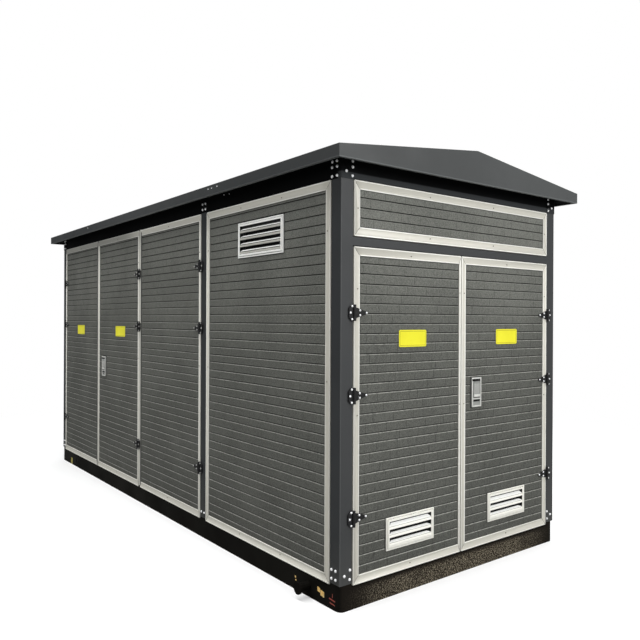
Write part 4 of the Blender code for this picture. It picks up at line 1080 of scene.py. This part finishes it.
def makeLockTrim(label, wall, body, leverBody, keyhole):
    lock, lever = label + "_lock", label + "_lever"
    x0, x1, z0, top = wallBox(lock, wall)
    face, proud, half = faceOf(lock, wall), lockTrim["proud"], lockTrim["slotWidth"] / 2
    back, middle = face + lockTrim["seat"], (x0 + x1) / 2
    rim = makeRim(*wallBox(lock, wall, 0.001), lockTrim["rim"], face - proud, back)
    soften(rim, lockTrim["soften"])
    coat(rim, "lockBright")
    # painted shade: the recess, slot and keyhole are black, and a black rim round the lock is a
    # painted shadow
    parts = [
        rim, makeShadowRim(x0, x1, z0, top),
        lockBar("recess", x0 + 0.002, x1 - 0.012, top, face - proud * 1.2, back, "blackScreenAndShade"),
        lockBar("band", x0 + 0.006, x1 - 0.006, top, face - proud * 0.6, back, "lockBright"),
        lockBar("slot", middle - half, middle + half, top, face - proud * 0.5, face + 0.0008,
                "blackScreenAndShade"),
    ]
    if keyhole:
        key = startDisc(lockTrim["keyRadius"], 0.002, (middle, face, z0 + lockTrim["keyRise"]), 20)
        editFacing(key)
        inset(0.0014)
        inset(0.0004, -0.0008)
        editOff()
        coat(key, "blackScreenAndShade")
        parts.append(key)
    piece = joinAll(parts, lock + "_trim")
    finishPiece(piece, wall, body)

    x0, x1, z0, z1 = wallBox(lever, wall)
    face, edge, half = faceOf(lever, wall), lockTrim["ribsInset"], lockTrim["ribWidth"] / 2
    pitch = (x1 - x0 - 2 * edge) / lockTrim["ribs"]
    middle, back = x0 + edge + pitch / 2, face + 0.0022
    rib = startCube((middle - half, back - lockTrim["ribProud"], top - lockTrim["lip"][0] + 0.003),
                    (middle + half, back + 0.001, z1 - 0.014))
    soften(rib, 0.0004, segments=1)
    repeat(rib, lockTrim["ribs"], (pitch, 0, 0))
    coat(rib, "lockBright")
    lip = lockBar("lip", x0, x1, top, face - 0.0006, face + 0.002, "lockBright")
    shadow = lockBar("shadow", x0 + 0.0005, x1 - 0.0005, top, face - 0.0004, face + 0.002,
                     "shadowGrey")
    trim = joinAll([rib, lip, shadow], lever + "_trim")
    finishPiece(trim, wall, leverBody)


makeLockTrim("end_door_right", "right", "end_door_right", "end_lever", False)
makeLockTrim("side_door_2", "front", "side_door_2", "side_lever", True)
print("lock trim placed")


# Plain labels and tape left on the base, with no lettering
labels = {
    # finish, low x, high x, low z, high z, slant, raggedness
    "label_orange_1": ("labelPaint", 2.280, 2.299, 0.064, 0.086, -0.003, 0.0026),
    "label_orange_2": ("labelPaint", 2.308, 2.336, 0.049, 0.075, -0.004, 0.0036),
    "label_pin_1": ("labelPaint", 2.058, 2.068, 0.071, 0.081, 0.0, 0.0008),
    "label_pin_2": ("labelPaint", 2.063, 2.072, 0.054, 0.062, 0.0, 0.0008),
    "tape_red_1": ("tapeRed", 2.384, 2.436, 0.053, 0.059, -0.004, 0.0008),
    "tape_red_2": ("tapeRed", 2.390, 2.434, 0.031, 0.037, -0.004, 0.0008),
    "tape_red_3": ("tapeRed", 2.411, 2.415, 0.066, 0.088, 0.0, 0.0003),
    "tape_yellow": ("tapeYellow", -2.190, -2.138, 0.006, 0.070, 0.0, 0.001),
}
for name, (finish, x0, x1, z0, z1, slant, ragged) in labels.items():
    label = startCube((x0, -0.0011, z0), (x1, -0.0003, z1), name)
    editOn(label)
    bpy.ops.mesh.select_all(action="SELECT")
    bpy.ops.mesh.subdivide(number_cuts=4, fractal=0.0)
    editOff()
    for index, vert in enumerate(label.data.vertices):
        share = (vert.co.x - x0) / (x1 - x0)
        vert.co.z += slant * share + ragged * math.sin(index * 2.3 + share * 9.0)
        vert.co.x += ragged * math.cos(index * 1.7)
    finishPiece(label, "front", "enclosure", finish, smooth=0)

# A black cup behind each lifting hole in the long sides, as painted shade, so that no light shows
# through
holeCups = {"radius": 0.034, "depth": 0.003, "rim": 0.004, "sunk": 0.001, "height": 0.066,
            "spots": {"front": -2.0, "rear": 2.0}}
for wall, across in holeCups["spots"].items():
    cup = startDisc(holeCups["radius"], holeCups["depth"], (across, 0.0085, holeCups["height"]), 24,
                    f"hole_cup_{wall}")
    editFacing(cup)
    inset(holeCups["rim"])
    pushOut((0, holeCups["sunk"], 0))
    editOff()
    finishPiece(cup, wall, "enclosure", "blackScreenAndShade")
print("labels placed")


# Floor and world. The camera sees them white, while the light that they give back is weaker
stage = {
    "radius": 14, "floorLit": (0.22, 0.22, 0.215), "floorSeen": (0.93, 0.93, 0.93), "rough": 0.9,
    "glowFrom": 3.2, "glowTo": 6.5, "leastGlow": 0.3,
    "ambient": (0.95, 0.98, 1.0, 1), "ambientPower": 0.24,
}


def seenRays(tree):
    rays = addNode(tree, "ShaderNodeLightPath").outputs
    return mathNode(tree, "MAXIMUM", rays["Is Camera Ray"], rays["Is Transmission Ray"])


def lightNode(tree, node, colour, power):
    feed(tree, node, "Color", colour)
    feed(tree, node, "Strength", power)
    return node


def mixInto(tree, output, factor, first, second):
    mix = addNode(tree, "ShaderNodeMixShader")
    for index, value in enumerate((factor, first.outputs[0], second.outputs[0])):
        feed(tree, mix, index, value)
    feed(tree, tree.nodes[output], "Surface", mix.outputs[0])


bpy.ops.mesh.primitive_circle_add(vertices=64, radius=stage["radius"], fill_type="NGON",
                                  location=(0, 0, 0))
floor = bpy.context.active_object
floor.name = "floor"
material = bpy.data.materials.new("floorPale")
material.use_nodes = True
tree = material.node_tree
shader, seen = tree.nodes["Principled BSDF"], seenRays(tree)
feed(tree, shader, "Base Color", mixColour(tree, seen, stage["floorLit"], stage["floorSeen"]))
feed(tree, shader, "Roughness", stage["rough"])
squares = [mathNode(tree, "POWER", objectPlace(tree)[axis], 2.0) for axis in "XY"]
away = mathNode(tree, "SQRT", plus(tree, *squares))
glow = ramp(tree, away, stage["glowFrom"], stage["glowTo"])
glow = times(tree, mathNode(tree, "MAXIMUM", glow, stage["leastGlow"]), seen)
white = lightNode(tree, addNode(tree, "ShaderNodeEmission"), (1, 1, 1, 1), 1.0)
mixInto(tree, "Material Output", glow, shader, white)
floor.data.materials.append(material)

world = bpy.data.worlds.new("studio")
bpy.context.scene.world = world
world.use_nodes = True
tree = world.node_tree
ambient = lightNode(tree, tree.nodes["Background"], stage["ambient"], stage["ambientPower"])
backdrop = lightNode(tree, addNode(tree, "ShaderNodeBackground"), (1, 1, 1, 1), 1.0)
mixInto(tree, "World Output", seenRays(tree), ambient, backdrop)
print("stage set")
